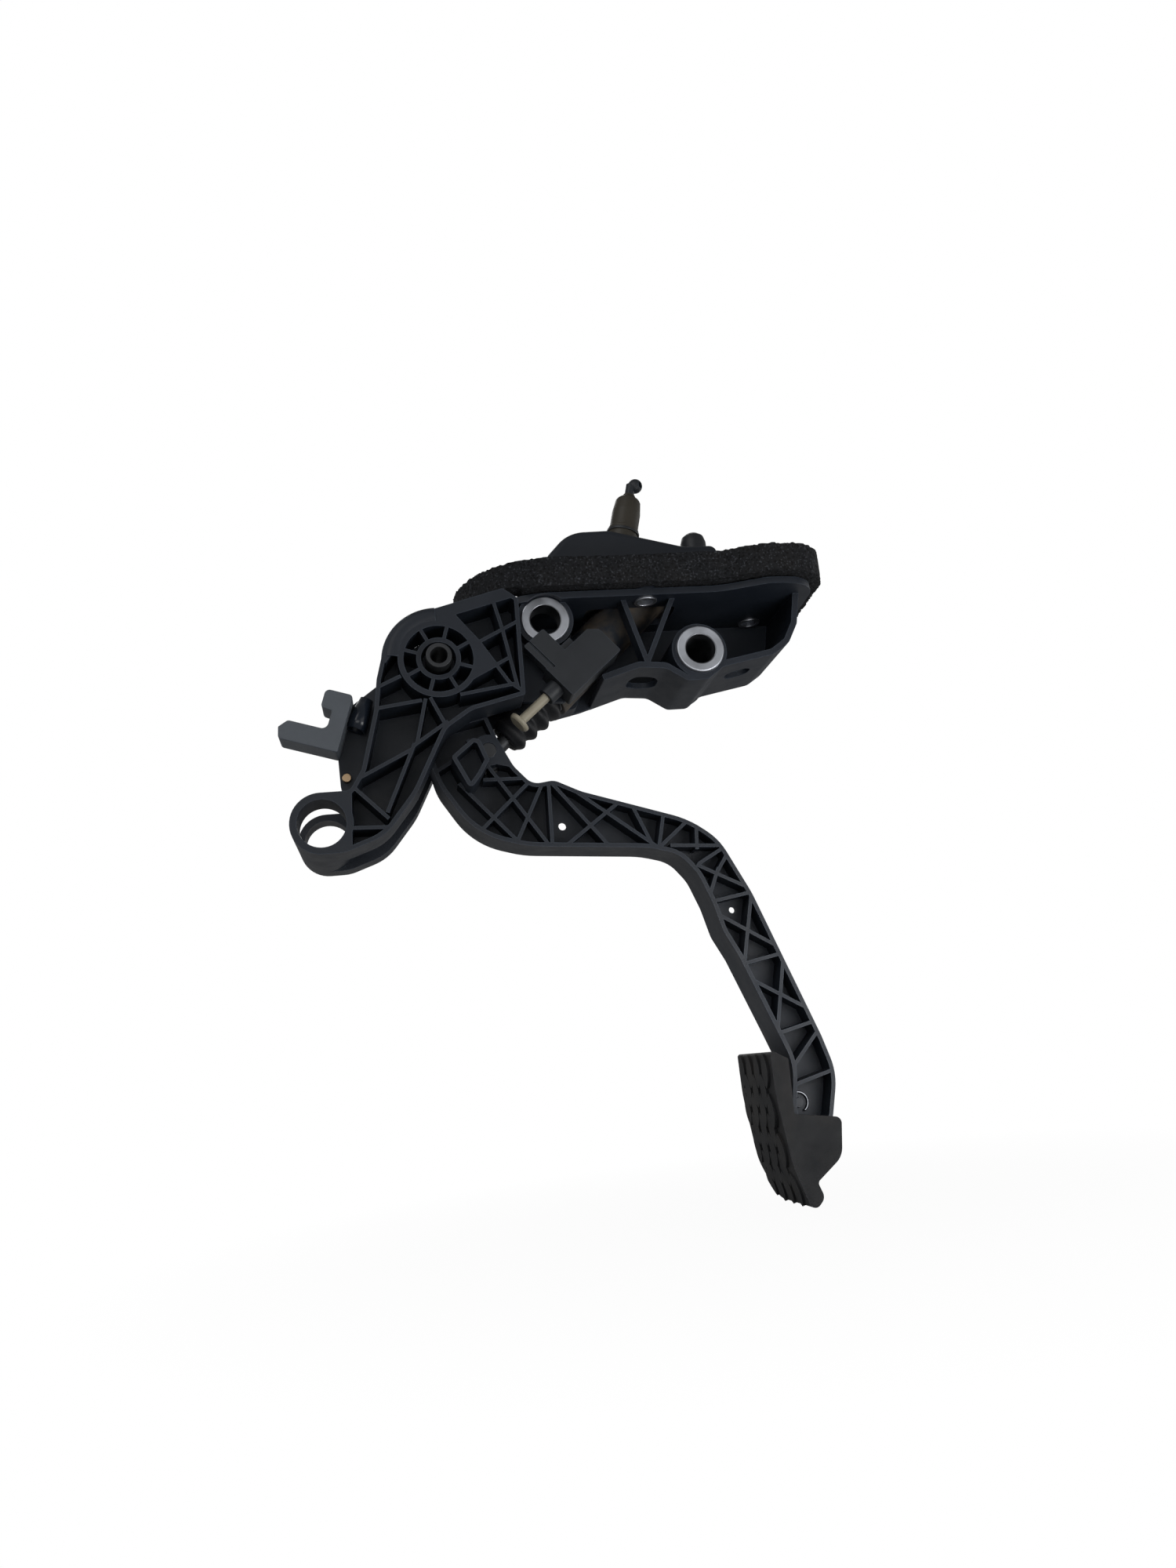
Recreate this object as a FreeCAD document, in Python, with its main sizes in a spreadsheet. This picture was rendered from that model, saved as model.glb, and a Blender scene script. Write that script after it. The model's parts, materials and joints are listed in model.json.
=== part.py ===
"""Clutch pedal of a car: moulded bracket, ribbed arm, rubber pad, master cylinder, switch and sensor.

Frame: the origin is the centre of the two firewall studs on the firewall face, +Z points
through the firewall, +Y runs along the pivot axle away from the near cheek. Outlines are
written relative to the pivot axis, as x to the right and z up.
"""
import FreeCAD, Part
import math
import os
from FreeCAD import Placement, Rotation, Vector

doc = FreeCAD.newDocument("ClutchPedal")

SIZES = (
    ("pivot_back", 142.0, "pivot axis left of the stud centre"),
    ("pivot_drop", 44.0, "pivot axis below the firewall face"),
    ("front_reach", 31.0, "near cheek face in front of the stud centre"),
    ("near_thick", 20.0, "near cheek thickness"),
    ("far_thick", 13.2, "far cheek thickness"),
    ("arm_thick", 26.0, "pedal arm thickness"),
    ("side_gap", 0.4, "play between arm and cheeks"),
    ("rim_wall", 2.0, "rim around the lightening cells"),
    ("rib_wall", 1.7, "ribs between the cells"),
    ("web_wall", 2.0, "floor left behind the cells"),
    ("ring_radius", 19.7, "pivot ring on the near cheek, outside"),
    ("ring_rim", 2.8, "pivot ring wall"),
    ("boss_radius", 10.8, "inner pivot boss, outside"),
    ("boss_recess", 8.5, "recess around the axle end"),
    ("recess_depth", 12.0, "depth of that recess"),
    ("lug_radius", 14.6, "foot lug, outside"),
    ("lug_wall", 3.2, "foot lug wall"),
    ("flange_thick", 3.5, "firewall flange"),
    ("foam_gap", 10.5, "flange top below the firewall face"),
    ("foam_thick", 17.0, "foam seal before it is pressed"),
    ("foam_width", 14.0, "width of the foam ring"),
    ("foam_lap", 7.0, "foam standing out past the flange"),
    ("stud_circle", 76.6, "circle through both stud centres, diameter"),
    ("stud_turn", 29.7, "stud line turned from X, degrees"),
    ("stud_hole", 4.3, "sleeve bore radius"),
    ("sleeve_radius", 6.0, "sleeve outside radius"),
    ("sleeve_length", 15.0, "sleeve length"),
    ("sleeve_boss", 8.4, "boss around a sleeve"),
    ("bush_radius", 12.4, "cross bush outside radius"),
    ("bush_bore", 7.5, "cross bush bore radius"),
    ("bush_boss", 14.4, "boss around a cross bush"),
    ("axle_radius", 6.3, "pivot axle outside radius"),
    ("axle_bore", 4.1, "pivot axle bore radius"),
    ("axle_proud", 5.0, "axle end in front of the near cheek"),
    ("clip_thick", 2.5, "axle clip"),
    ("clip_radius", 10.0, "axle clip outside radius"),
    ("hub_radius", 17.0, "arm hub outside radius"),
    ("hub_bush_wall", 2.4, "hub bush wall"),
    ("hub_bush_length", 11.0, "hub bush length"),
    ("run_fit", 0.05, "radial play of a running fit"),
    ("travel", 30.0, "pedal travel, degrees"),
    ("rod_tilt", 47.4, "cylinder axis from the vertical, degrees"),
    ("pin_reach", 47.4, "rod pin from the pivot axis"),
    ("pin_radius", 4.0, "rod pin radius"),
    ("eye_radius", 8.0, "push rod eye radius"),
    ("eye_thick", 12.0, "push rod eye thickness"),
    ("eye_play", 1.1, "play across the eye, where the linkage is opened"),
    ("fork_play", 0.5, "play beside the eye in the arm fork"),
    ("rod_radius", 4.0, "push rod radius"),
    ("ball_radius", 5.0, "push rod ball radius"),
    ("barrel_start", 45.0, "cylinder mouth from the rod pin"),
    ("barrel_length", 85.0, "cylinder barrel length"),
    ("barrel_radius", 12.5, "cylinder barrel radius"),
    ("bore_radius", 8.0, "cylinder bore radius"),
    ("bore_depth", 72.0, "cylinder bore depth"),
    ("piston_length", 40.0, "piston length"),
    ("seal_width", 4.0, "piston seal width"),
    ("seal_depth", 2.0, "piston seal depth"),
    ("dome_width", 32.0, "cylinder head across Y"),
    ("dome_shift", 9.0, "cylinder head beyond the stud centre along Y"),
    ("dome_lip", 3.0, "foot flange of the cylinder head"),
    ("pad_width", 57.0, "pedal pad across Y"),
    ("foot_width", 48.0, "arm foot inside the pad across Y"),
    ("switch_depth", 16.0, "switch body across Y"),
    ("switch_tilt", 40.0, "switch axis above X, degrees"),
    ("sensor_depth", 16.0, "sensor housing across Y"),
    ("sensor_tilt", 18.0, "sensor housing below X, degrees"),
)

sheet = doc.addObject("Spreadsheet::Sheet", "Sizes")
for row, (alias, value, meaning) in enumerate(SIZES, start=1):
    sheet.set(f"A{row}", meaning)
    sheet.set(f"B{row}", str(value))
    sheet.setAlias(f"B{row}", alias)
doc.recompute()


def dim(alias):
    """Number held by a named cell."""
    return float(sheet.get(alias))


# Stations along Y, as expressions and as numbers
NEAR_OUT = "(-Sizes.front_reach)"
NEAR_IN = "(Sizes.near_thick - Sizes.front_reach)"
ARM_NEAR = "(Sizes.near_thick + Sizes.side_gap - Sizes.front_reach)"
ARM_MID = f"({ARM_NEAR} + Sizes.arm_thick / 2)"
ARM_FAR = f"({ARM_NEAR} + Sizes.arm_thick)"
FAR_IN = f"({ARM_FAR} + Sizes.side_gap)"
FAR_OUT = f"({FAR_IN} + Sizes.far_thick)"
BRACKET_WIDTH = f"({FAR_OUT} - {NEAR_OUT})"

near_out = -dim("front_reach")
near_in = near_out + dim("near_thick")
arm_near = near_in + dim("side_gap")
arm_mid = arm_near + dim("arm_thick") / 2
arm_far = arm_near + dim("arm_thick")
far_in = arm_far + dim("side_gap")
far_out = far_in + dim("far_thick")

# Levels along Z
FLANGE_TOP = "(-Sizes.foam_gap)"
FLANGE_UNDER = "(-Sizes.foam_gap - Sizes.flange_thick)"
flange_top = -dim("foam_gap")
flange_under = flange_top - dim("flange_thick")

# Cylinder axis: u runs up the barrel, n across it in the XZ plane
tilt = math.radians(dim("rod_tilt"))
half_travel = math.radians(dim("travel") / 2)
axis_u = Vector(math.sin(tilt), 0, math.cos(tilt))
axis_n = Vector(math.cos(tilt), 0, -math.sin(tilt))
pivot = Vector(-dim("pivot_back"), 0, -dim("pivot_drop"))
pin_rise = -dim("pin_reach") * math.sin(half_travel)
pin_far = dim("pin_reach")
pin_near = dim("pin_reach") * math.cos(half_travel)
axis_reach = (pin_far + pin_near) / 2
rod_origin = pivot + axis_n * axis_reach + axis_u * pin_rise + Vector(0, arm_mid, 0)
pin_centre = pivot + axis_n * pin_near + axis_u * pin_rise
rod_place = Placement(rod_origin, Rotation(Vector(0, 1, 0), dim("rod_tilt")))


def point(x, z):
    """Sketch point of a place given relative to the pivot axis."""
    return Vector(x + pivot.x, z + pivot.z, 0)


def level(x, y):
    """Flange sketch point: x relative to the pivot axis, y from the near cheek face."""
    return Vector(x + pivot.x, y + near_out, 0)


def arc(centre, start, end, through):
    """Counter-clockwise sketch arc from start to end, or from end to start, passing a point."""
    radius = (start - centre).Length
    turn = [math.atan2(p.y - centre.y, p.x - centre.x) for p in (start, through, end)]
    ahead = [(angle - turn[0]) % (2 * math.pi) for angle in turn]
    first, last = (turn[0], turn[2]) if ahead[1] < ahead[2] else (turn[2], turn[0])
    return Part.ArcOfCircle(Part.Circle(centre, Vector(0, 0, 1), radius), first, last)


def rounded(corners):
    """Closed outline through (point, radius) corners: straight runs joined by tangent arcs."""
    count = len(corners)
    bends = []
    for index, (corner, radius) in enumerate(corners):
        back = (corners[index - 1][0] - corner).normalize()
        ahead = (corners[(index + 1) % count][0] - corner).normalize()
        half = back.getAngle(ahead) / 2
        if radius == 0 or abs(half - math.pi / 2) < 1e-6:
            bends.append((corner, corner, None))
            continue
        reach = radius / math.tan(half)
        middle = (back + ahead).normalize()
        centre = corner + middle * (radius / math.sin(half))
        start = corner + back * reach
        end = corner + ahead * reach
        bends.append((start, end, arc(centre, start, end, centre - middle * radius)))
    outline = []
    for index, (start, end, bend) in enumerate(bends):
        if bend:
            outline.append(bend)
        following = bends[(index + 1) % count][0]
        if (following - end).Length > 1e-6:
            outline.append(Part.LineSegment(end, following))
    return outline


def outline_at(place, corners):
    """Rounded outline whose corners are (a, b, radius) in the terms of place()."""
    return rounded([(place(a, b), radius) for a, b, radius in corners])


def circle(centre, radius):
    """Full sketch circle."""
    return Part.Circle(Vector(centre.x, centre.y, 0), Vector(0, 0, 1), radius)


def region(outline):
    """Flat face inside one closed outline."""
    edges = Part.__sortEdges__([curve.toShape() for curve in outline])
    return Part.Face(Part.Wire(edges))


def disc(centre, radius):
    """Flat round face."""
    return region([circle(centre, radius)])


def strip(start, end, width):
    """Flat bar of a given width around a straight centre line."""
    along = (end - start).normalize()
    side = Vector(-along.y, along.x, 0) * (width / 2)
    corners = (start + side, start - side, end - side, end + side)
    return Part.Face(Part.makePolygon([*corners, corners[0]]))


def bars(place, runs, width):
    """Bars along runs of (x1, z1, x2, z2)."""
    return [strip(place(a, b), place(c, d), width) for a, b, c, d in runs]


def cells(face, solid, smallest):
    """What is left of a face between the solid bars, without slits under the smallest width."""
    left = face.cut(solid)
    return [cell for cell in left.Faces if 2 * cell.Area / cell.Length > smallest]


def sketch_curves(faces):
    """Sketch geometry of the outer outlines of flat faces."""
    curves = []
    for face in faces:
        for edge in face.OuterWire.Edges:
            start = edge.valueAt(edge.FirstParameter)
            end = edge.valueAt(edge.LastParameter)
            if edge.Curve.TypeId == "Part::GeomLine":
                curves.append(Part.LineSegment(start, end))
            else:
                through = edge.valueAt((edge.FirstParameter + edge.LastParameter) / 2)
                curves.append(arc(edge.Curve.Center, start, end, through))
    return curves


def new_body(label):
    """Empty body that carries a node's name."""
    body = doc.addObject("PartDesign::Body", label)
    body.Label = label
    return body


def add_sketch(body, name, role, geometry, offset):
    """Sketch on one of the body's own origin planes, shifted along its normal."""
    drawing = body.newObject("Sketcher::SketchObject", name)
    support = next(item for item in body.Origin.OriginFeatures if item.Role == role)
    drawing.AttachmentSupport = (support, [""])
    drawing.MapMode = "FlatFace"
    drawing.setExpression("AttachmentOffset.Base.z", offset)
    drawing.addGeometry(geometry, False)
    return drawing


def feature(body, kind, name, drawing, length, backward):
    """Pad or pocket of a sketch with its length bound to the sheet."""
    item = body.newObject(f"PartDesign::{kind}", name)
    item.Profile = drawing
    item.setExpression("Length", length)
    item.Reversed = backward
    item.Refine = False
    drawing.Visibility = False
    doc.recompute()
    return item


def pad_y(body, name, geometry, start, end):
    """Solid between two stations along Y."""
    drawing = add_sketch(body, name + "_sketch", "XZ_Plane", geometry, f"-({start})")
    return feature(body, "Pad", name, drawing, f"{end} - ({start})", True)


def cut_y(body, name, geometry, start, end):
    """Cut between two stations along Y."""
    before = body.Shape.Volume
    drawing = add_sketch(body, name + "_sketch", "XZ_Plane", geometry, f"-({start})")
    item = feature(body, "Pocket", name, drawing, f"{end} - ({start})", False)
    if not body.Shape.Volume < before:
        raise RuntimeError(f"{name} removes nothing")
    return item


def pad_z(body, name, geometry, start, end):
    """Solid between two levels along Z."""
    drawing = add_sketch(body, name + "_sketch", "XY_Plane", geometry, start)
    return feature(body, "Pad", name, drawing, f"{end} - ({start})", False)


def cut_z(body, name, geometry, start, end):
    """Cut between two levels along Z."""
    before = body.Shape.Volume
    drawing = add_sketch(body, name + "_sketch", "XY_Plane", geometry, start)
    item = feature(body, "Pocket", name, drawing, f"{end} - ({start})", True)
    if not body.Shape.Volume < before:
        raise RuntimeError(f"{name} removes nothing")
    return item


def turned(label, profile, place):
    """Round piece: a closed (radius, height) profile turned about its own Z axis."""
    body = new_body(label)
    corners = [Vector(radius, height, 0) for radius, height in profile]
    runs = [Part.LineSegment(a, b) for a, b in zip(corners, corners[1:] + corners[:1])]
    drawing = add_sketch(body, label + "_sketch", "XZ_Plane", runs, "0")
    turn = body.newObject("PartDesign::Revolution", label + "_turn")
    turn.Profile = drawing
    turn.ReferenceAxis = (drawing, ["V_Axis"])
    turn.Angle = 360
    drawing.Visibility = False
    body.Placement = place
    doc.recompute()
    return body


def rod(label, radius, length, place):
    """Plain cylinder with its radius and length bound to the sheet."""
    item = doc.addObject("Part::Cylinder", label)
    item.setExpression("Radius", radius)
    item.setExpression("Height", length)
    item.Placement = place
    return item


def tube(label, outside, inside, length, place):
    """Plain tube with its radii and length bound to the sheet."""
    item = doc.addObject("Part::Cut", label)
    item.Base = rod(label + "_outside", outside, length, place)
    item.Tool = rod(label + "_inside", inside, length, place)
    item.Label = label
    doc.recompute()
    return item


def along_y(centre, y):
    """Placement whose Z axis runs along +Y from a sketch point."""
    return Placement(Vector(centre.x, y, centre.y), Rotation(Vector(1, 0, 0), -90))


# Bracket outlines, (x, z, corner radius)
NEAR_CHEEK = (
    (-22.4, 19.9, 22), (34.2, 35.2, 2), (41.5, 29.5, 2), (40.5, -20.7, 1.5), (14, -27, 14),
    (1, -35.5, 10), (-15, -66, 40), (-31, -85.5, 25), (-50, -92, 20), (-74.4, -92, 14.5),
    (-74.4, -62.8, 14.5), (-46, -62.8, 4), (-40, -53, 6), (-32.3, -24, 10), (-30.3, -9, 10),
)
FAR_CHEEK = (
    (-22.4, 19.9, 22), (30, 33.2, 2), (74, 33.2, 1), (74, -14.6, 4), (40.5, -20.7, 6), (14, -27, 14),
    (1, -35.5, 10), (-15, -66, 40), (-31, -85.5, 25), (-50, -92, 20), (-74.4, -92, 14.5),
    (-74.4, -62.8, 14.5), (-46, -62.8, 4), (-40, -53, 6), (-32.3, -24, 10), (-30.3, -9, 10),
)
TRAY_UNDERSIDE = (
    (187.5, 13, 6), (181.5, 2.5, 8), (172.5, -3.3, 8), (144, -8.6, 8), (136, -14.8, 5),
    (125, -14.8, 5), (114.5, -7.6, 8), (101, -6.5, 10),
)
TRAY_FLOOR = (
    (191.5, 33, 0), *TRAY_UNDERSIDE, (82, -12.3, 0.5), (81.2, -9.4, 0.5), (101, -3.4, 8), (115.4, -4.7, 5),
    (125.8, -11.8, 4), (135, -11.8, 4), (143, -5.6, 6), (171.5, -0.3, 6), (179.3, 4.8, 6), (184.5, 14, 5),
    (188.3, 33, 0),
)
FAR_WALL = ((60, 33.2, 0), (191.5, 33.2, 0), *TRAY_UNDERSIDE, (76, -14, 6), (60, -17.5, 0))
TRAY_SLOTS = ((106.6, 34, 8, 9.5), (157.7, 30, 7, 6))
SWITCH_PLATE = (
    (39, 22, 0), (39, -19, 3), (62, -20.5, 2), (88.5, -0.6, 1.5), (81, 10, 1.5), (75, 10.4, 1), (63.5, 0.9, 1),
    (52.5, 11, 1), (48, 22, 0),
)
SENSOR_WING = (
    (-27, -6, 0), (-42, -17, 2), (-48, -24, 3), (-51, -44, 6), (-50.5, -60, 4), (-42, -64, 0), (-36, -45, 0),
    (-29, -20, 0),
)
WING_WINDOW = ((-34.6, -17.3, 0.5), (-41.5, -26, 0.5), (-36.5, -27.5, 0.5))
NEAR_RIBS = (
    (-18.8, -7.9, -33, -14.2), (-9.6, -20.7, -34, -23.9), (-7.8, -20, -13.3, -41.5),
    (-5.5, -19.5, 0.8, -33.8), (2, -32, -15.5, -43.3), (-14.6, -42, -29.5, -74.5),
    (-16, -44.8, -43, -57.9), (8.6, 22.6, 20.6, 6.9), (20.6, 6.9, 33.3, -14.1),
    (33.3, -14.1, 41, -20), (20.2, 7.5, 42, 18.3), (28.2, 32, 32.3, 13.3),
    (32.3, 13.3, 37.2, -17), (14, -11.6, 35, -1), (9, -18.9, 36, -14.9),
    (-45.5, -60, -29, -77.4), (-46, -62, -47.4, -92), (-48, -80.6, -29, -81.5),
)
HOOD_BANDS = ((-29, 2, -10, 26), (-16, 20, 38, 34.5))
FAR_RIBS = NEAR_RIBS + ((41, 33, 41, -22), (41, -20, 74, 30), (41, 20, 76, -12))
FAR_BAND = (28, 31.5, 78, 31.5)
VEE_RIBS = ((96, 33, 105.5, -4), (124, 33, 105.5, -4))
LUG = (-59.8, -77.4)
LEFT_BUSH = (55.3, 20.9)
RIGHT_BUSH = (133.3, 0.9)

# Flange outline, (x, y from the near cheek face, corner radius); the left end is a half round
FLANGE = (
    (12, -3, 48), (146, -3, 30), (170, -12, 22), (204, -9, 26), (209, 95, 40), (12, 95, 48),
)
BARREL_WINDOW = ((79, 20.6, 4), (127, 20.6, 4), (127, 46.2, 4), (79, 46.2, 4))

pivot_point = point(0, 0)
lug_point = point(*LUG)
left_bush = point(*LEFT_BUSH)
right_bush = point(*RIGHT_BUSH)
stud_turn = math.radians(dim("stud_turn"))
stud_reach = dim("stud_circle") / 2
studs = [
    Vector(side * stud_reach * math.cos(stud_turn), side * stud_reach * math.sin(stud_turn), 0)
    for side in (-1, 1)
]


def inset(face, distance):
    """Face with its edge moved inwards."""
    return face.makeOffset2D(-distance)


def pivot_sectors():
    """Openings between the spokes of the pivot ring."""
    spokes = 8
    spoke_turn = 27.0
    outside = dim("ring_radius") - dim("ring_rim")
    ring = disc(pivot_point, outside).cut(disc(pivot_point, dim("boss_radius")))
    rays = []
    for index in range(spokes):
        angle = math.radians(spoke_turn + index * 360 / spokes)
        tip = pivot_point + Vector(math.cos(angle), math.sin(angle), 0) * dim("ring_radius")
        rays.append(strip(pivot_point, tip, dim("rib_wall")))
    return cells(ring, rays, dim("rib_wall"))


def lug_trough():
    """Lower half shell that joins the lug rings of both cheeks."""
    shell = disc(lug_point, dim("lug_radius")).cut(disc(lug_point, dim("lug_radius") - dim("lug_wall")))
    reach = Vector(2 * dim("lug_radius"), 0, 0)
    rise = Vector(0, dim("lug_radius"), 0)
    upper = strip(lug_point - reach + rise, lug_point + reach + rise, 2 * dim("lug_radius"))
    return shell.cut(upper).Faces


def cheek_cells(outline, ribs, bands, keep):
    """Lightening cells of a cheek: inside its rim, between its ribs, clear of the round bosses."""
    field = inset(region(outline_at(point, outline)), dim("rim_wall"))
    solid = bars(point, ribs, dim("rib_wall"))
    band = 9.0
    solid += bars(point, bands, band)
    solid += [disc(centre, radius) for centre, radius in keep]
    return cells(field, solid, dim("rib_wall") * 1.2)


def tray_slots():
    """Access slots through the tray floor."""
    curves = []
    for x, y, half_length, half_width in TRAY_SLOTS:
        radius = 0.9 * min(half_length, half_width)
        corners = [(x + a * half_length, y + b * half_width, radius)
                   for a, b in ((-1, -1), (1, -1), (1, 1), (-1, 1))]
        curves += outline_at(level, corners)
    return curves


def add_hood(body):
    """Rounded hood around the upper left of the pivot ring."""
    ring = 22.4
    thick = 5.2
    start = 174.0
    hood = body.newObject("PartDesign::AdditiveTorus", "hood")
    hood.Radius1 = ring
    hood.Radius2 = thick
    hood.Angle3 = 84
    turn = Rotation(Vector(1, 0, 0), -90).multiply(Rotation(Vector(0, 0, 1), -start))
    hood.Placement = Placement(Vector(pivot.x, near_out + thick - 1, pivot.z), turn)
    hood.Refine = False
    doc.recompute()


def make_bracket():
    """Bracket moulding: flange, two ribbed cheeks, tray, bosses and the sensor wing."""
    body = new_body("pedal_bracket")
    flange = inset(region(outline_at(level, FLANGE)), dim("foam_lap"))
    pad_z(body, "flange", sketch_curves([flange]), FLANGE_UNDER, FLANGE_TOP)
    pad_y(body, "near_cheek", outline_at(point, NEAR_CHEEK), NEAR_OUT, NEAR_IN)
    pad_y(body, "far_cheek", outline_at(point, FAR_CHEEK), FAR_IN, FAR_OUT)
    pad_y(body, "lug_trough", sketch_curves(lug_trough()), f"({NEAR_IN} - 1)", f"({FAR_IN} + 1)")
    tray_front = f"({NEAR_OUT} + 10)"
    pad_y(body, "far_wall", outline_at(point, FAR_WALL), f"({FAR_OUT} - 1.5 * Sizes.web_wall)", FAR_OUT)
    pad_y(body, "tray_floor", outline_at(point, TRAY_FLOOR), tray_front, FAR_OUT)
    pad_y(body, "right_boss", [circle(right_bush, dim("bush_boss"))], tray_front, FAR_OUT)
    pad_y(body, "switch_plate", outline_at(point, SWITCH_PLATE), f"({NEAR_IN} - 3)", NEAR_IN)
    pad_y(body, "left_boss", [circle(left_bush, dim("bush_boss"))], f"({NEAR_OUT} + 9)", NEAR_IN)
    above = [(42, 8, 0), (72, 8, 0), (72, dim("near_thick") + 1, 0), (42, dim("near_thick") + 1, 0)]
    cut_z(body, "left_boss_top", outline_at(level, above), FLANGE_TOP, f"({FLANGE_TOP} + Sizes.bush_boss)")
    pad_y(body, "sensor_wing", outline_at(point, SENSOR_WING), f"({NEAR_OUT} + 12)", NEAR_IN)
    for number, rib in enumerate(bars(point, VEE_RIBS, 1.5 * dim("rib_wall")), start=1):
        pad_y(body, f"vee_rib_{number}", sketch_curves([rib]), tray_front, NEAR_IN)
    bosses = [circle(stud, dim("sleeve_boss")) for stud in studs]
    pad_z(body, "stud_bosses", bosses, FLANGE_UNDER, "(-0.5)")
    cut_y(body, "pivot_sectors", sketch_curves(pivot_sectors()), NEAR_OUT, NEAR_IN)
    lug_bore = [circle(lug_point, dim("lug_radius") - dim("lug_wall"))]
    cut_y(body, "lug_bore_near", lug_bore, NEAR_OUT, NEAR_IN)
    cut_y(body, "lug_bore_far", lug_bore, FAR_IN, FAR_OUT)
    cut_y(body, "axle_hole", [circle(pivot_point, dim("axle_radius"))], NEAR_OUT, FAR_OUT)
    cut_y(body, "axle_recess", [circle(pivot_point, dim("boss_recess"))],
          NEAR_OUT, f"({NEAR_OUT} + Sizes.recess_depth)")
    cut_y(body, "left_bush_hole", [circle(left_bush, dim("bush_radius"))], NEAR_OUT, NEAR_IN)
    cut_y(body, "right_bush_hole", [circle(right_bush, dim("bush_radius"))], NEAR_OUT, f"({FAR_OUT} - 3)")
    cut_z(body, "tray_slots", tray_slots(), "(-Sizes.pivot_drop - 25)", "(-Sizes.pivot_drop + 1)")
    cut_y(body, "wing_window", outline_at(point, WING_WINDOW), NEAR_OUT, NEAR_IN)
    holes = [circle(stud, dim("sleeve_radius")) for stud in studs]
    cut_z(body, "stud_holes", holes, "(-Sizes.sleeve_length)", "0")
    cut_z(body, "barrel_window", outline_at(level, BARREL_WINDOW), f"({FLANGE_UNDER} - 1)", FLANGE_TOP)
    add_hood(body)
    keep_near = ((pivot_point, dim("ring_radius")), (lug_point, dim("lug_radius")))
    near_cells = cheek_cells(NEAR_CHEEK, NEAR_RIBS, HOOD_BANDS, keep_near)
    cut_y(body, "near_cells", sketch_curves(near_cells), NEAR_OUT, f"({NEAR_IN} - Sizes.web_wall)")
    keep_far = keep_near + ((right_bush, dim("bush_boss")),)
    far_cells = cheek_cells(FAR_CHEEK, FAR_RIBS, (*HOOD_BANDS, FAR_BAND), keep_far)
    cut_y(body, "far_cells", sketch_curves(far_cells), f"({FAR_IN} + Sizes.web_wall)", FAR_OUT)
    return body


def make_foam():
    """Foam seal: a ring on the flange with room for the stud bosses."""
    body = new_body("foam_seal")
    outer = region(outline_at(level, FLANGE))
    inner = inset(outer, dim("foam_width"))
    clear = [disc(stud, dim("sleeve_boss") + dim("run_fit")) for stud in studs]
    ring = outer.cut([inner] + clear)
    curves = []
    for face in ring.Faces:
        for wire in face.Wires:
            curves += sketch_curves([Part.Face(wire)])
    pad_z(body, "foam_ring", curves, FLANGE_TOP, f"({FLANGE_TOP} + Sizes.foam_thick)")
    play = 0.3
    cheek_top = max(z for x, z, radius in NEAR_CHEEK) + pivot.z - flange_top + play
    relief = [(24, -play, 0), (44, -play, 0), (44, dim("near_thick") + play, 0), (24, dim("near_thick") + play, 0)]
    cut_z(body, "cheek_relief", outline_at(level, relief), FLANGE_TOP, f"({FLANGE_TOP} + {cheek_top})")
    return body


def make_sleeves():
    """Steel sleeves that carry the firewall studs."""
    group = doc.addObject("Part::Compound", "stud_sleeves")
    group.Links = [
        tube(f"stud_sleeve_{number}", "Sizes.sleeve_radius", "Sizes.stud_hole", "Sizes.sleeve_length",
             Placement(stud - Vector(0, 0, dim("sleeve_length")), Rotation()))
        for number, stud in enumerate(studs, start=1)
    ]
    return group


def make_axle():
    """Hollow pivot axle and the clip on its far end."""
    start = near_out - dim("axle_proud")
    length = f"Sizes.axle_proud + {BRACKET_WIDTH} + Sizes.clip_thick + 1"
    axle = tube("pivot_axle", "Sizes.axle_radius", "Sizes.axle_bore", length, along_y(pivot_point, start))
    clip = tube("axle_clip", "Sizes.clip_radius", "Sizes.axle_radius", "Sizes.clip_thick",
                along_y(pivot_point, far_out))
    return [axle, clip]


def make_cross_bushes():
    """Steel bushes of the two cross bolts."""
    set_back = 8.0
    left = tube("cross_bush_left", "Sizes.bush_radius", "Sizes.bush_bore", f"Sizes.near_thick - {set_back}",
                along_y(left_bush, near_out + set_back))
    start = near_out + 7
    right = tube("cross_bush_right", "Sizes.bush_radius", "Sizes.bush_bore", f"{FAR_OUT} - 3 - ({start})",
                 along_y(right_bush, start))
    return [left, right]


# Cylinder head, (x, z, corner radius)
DOME = (
    (61, 33.5, 0), (61.5, 62.5, 9), (75, 76.5, 20), (97, 77, 12), (137, 66.2, 24), (155, 66.2, 4.4), (157.5, 33.5, 0),
)


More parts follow.
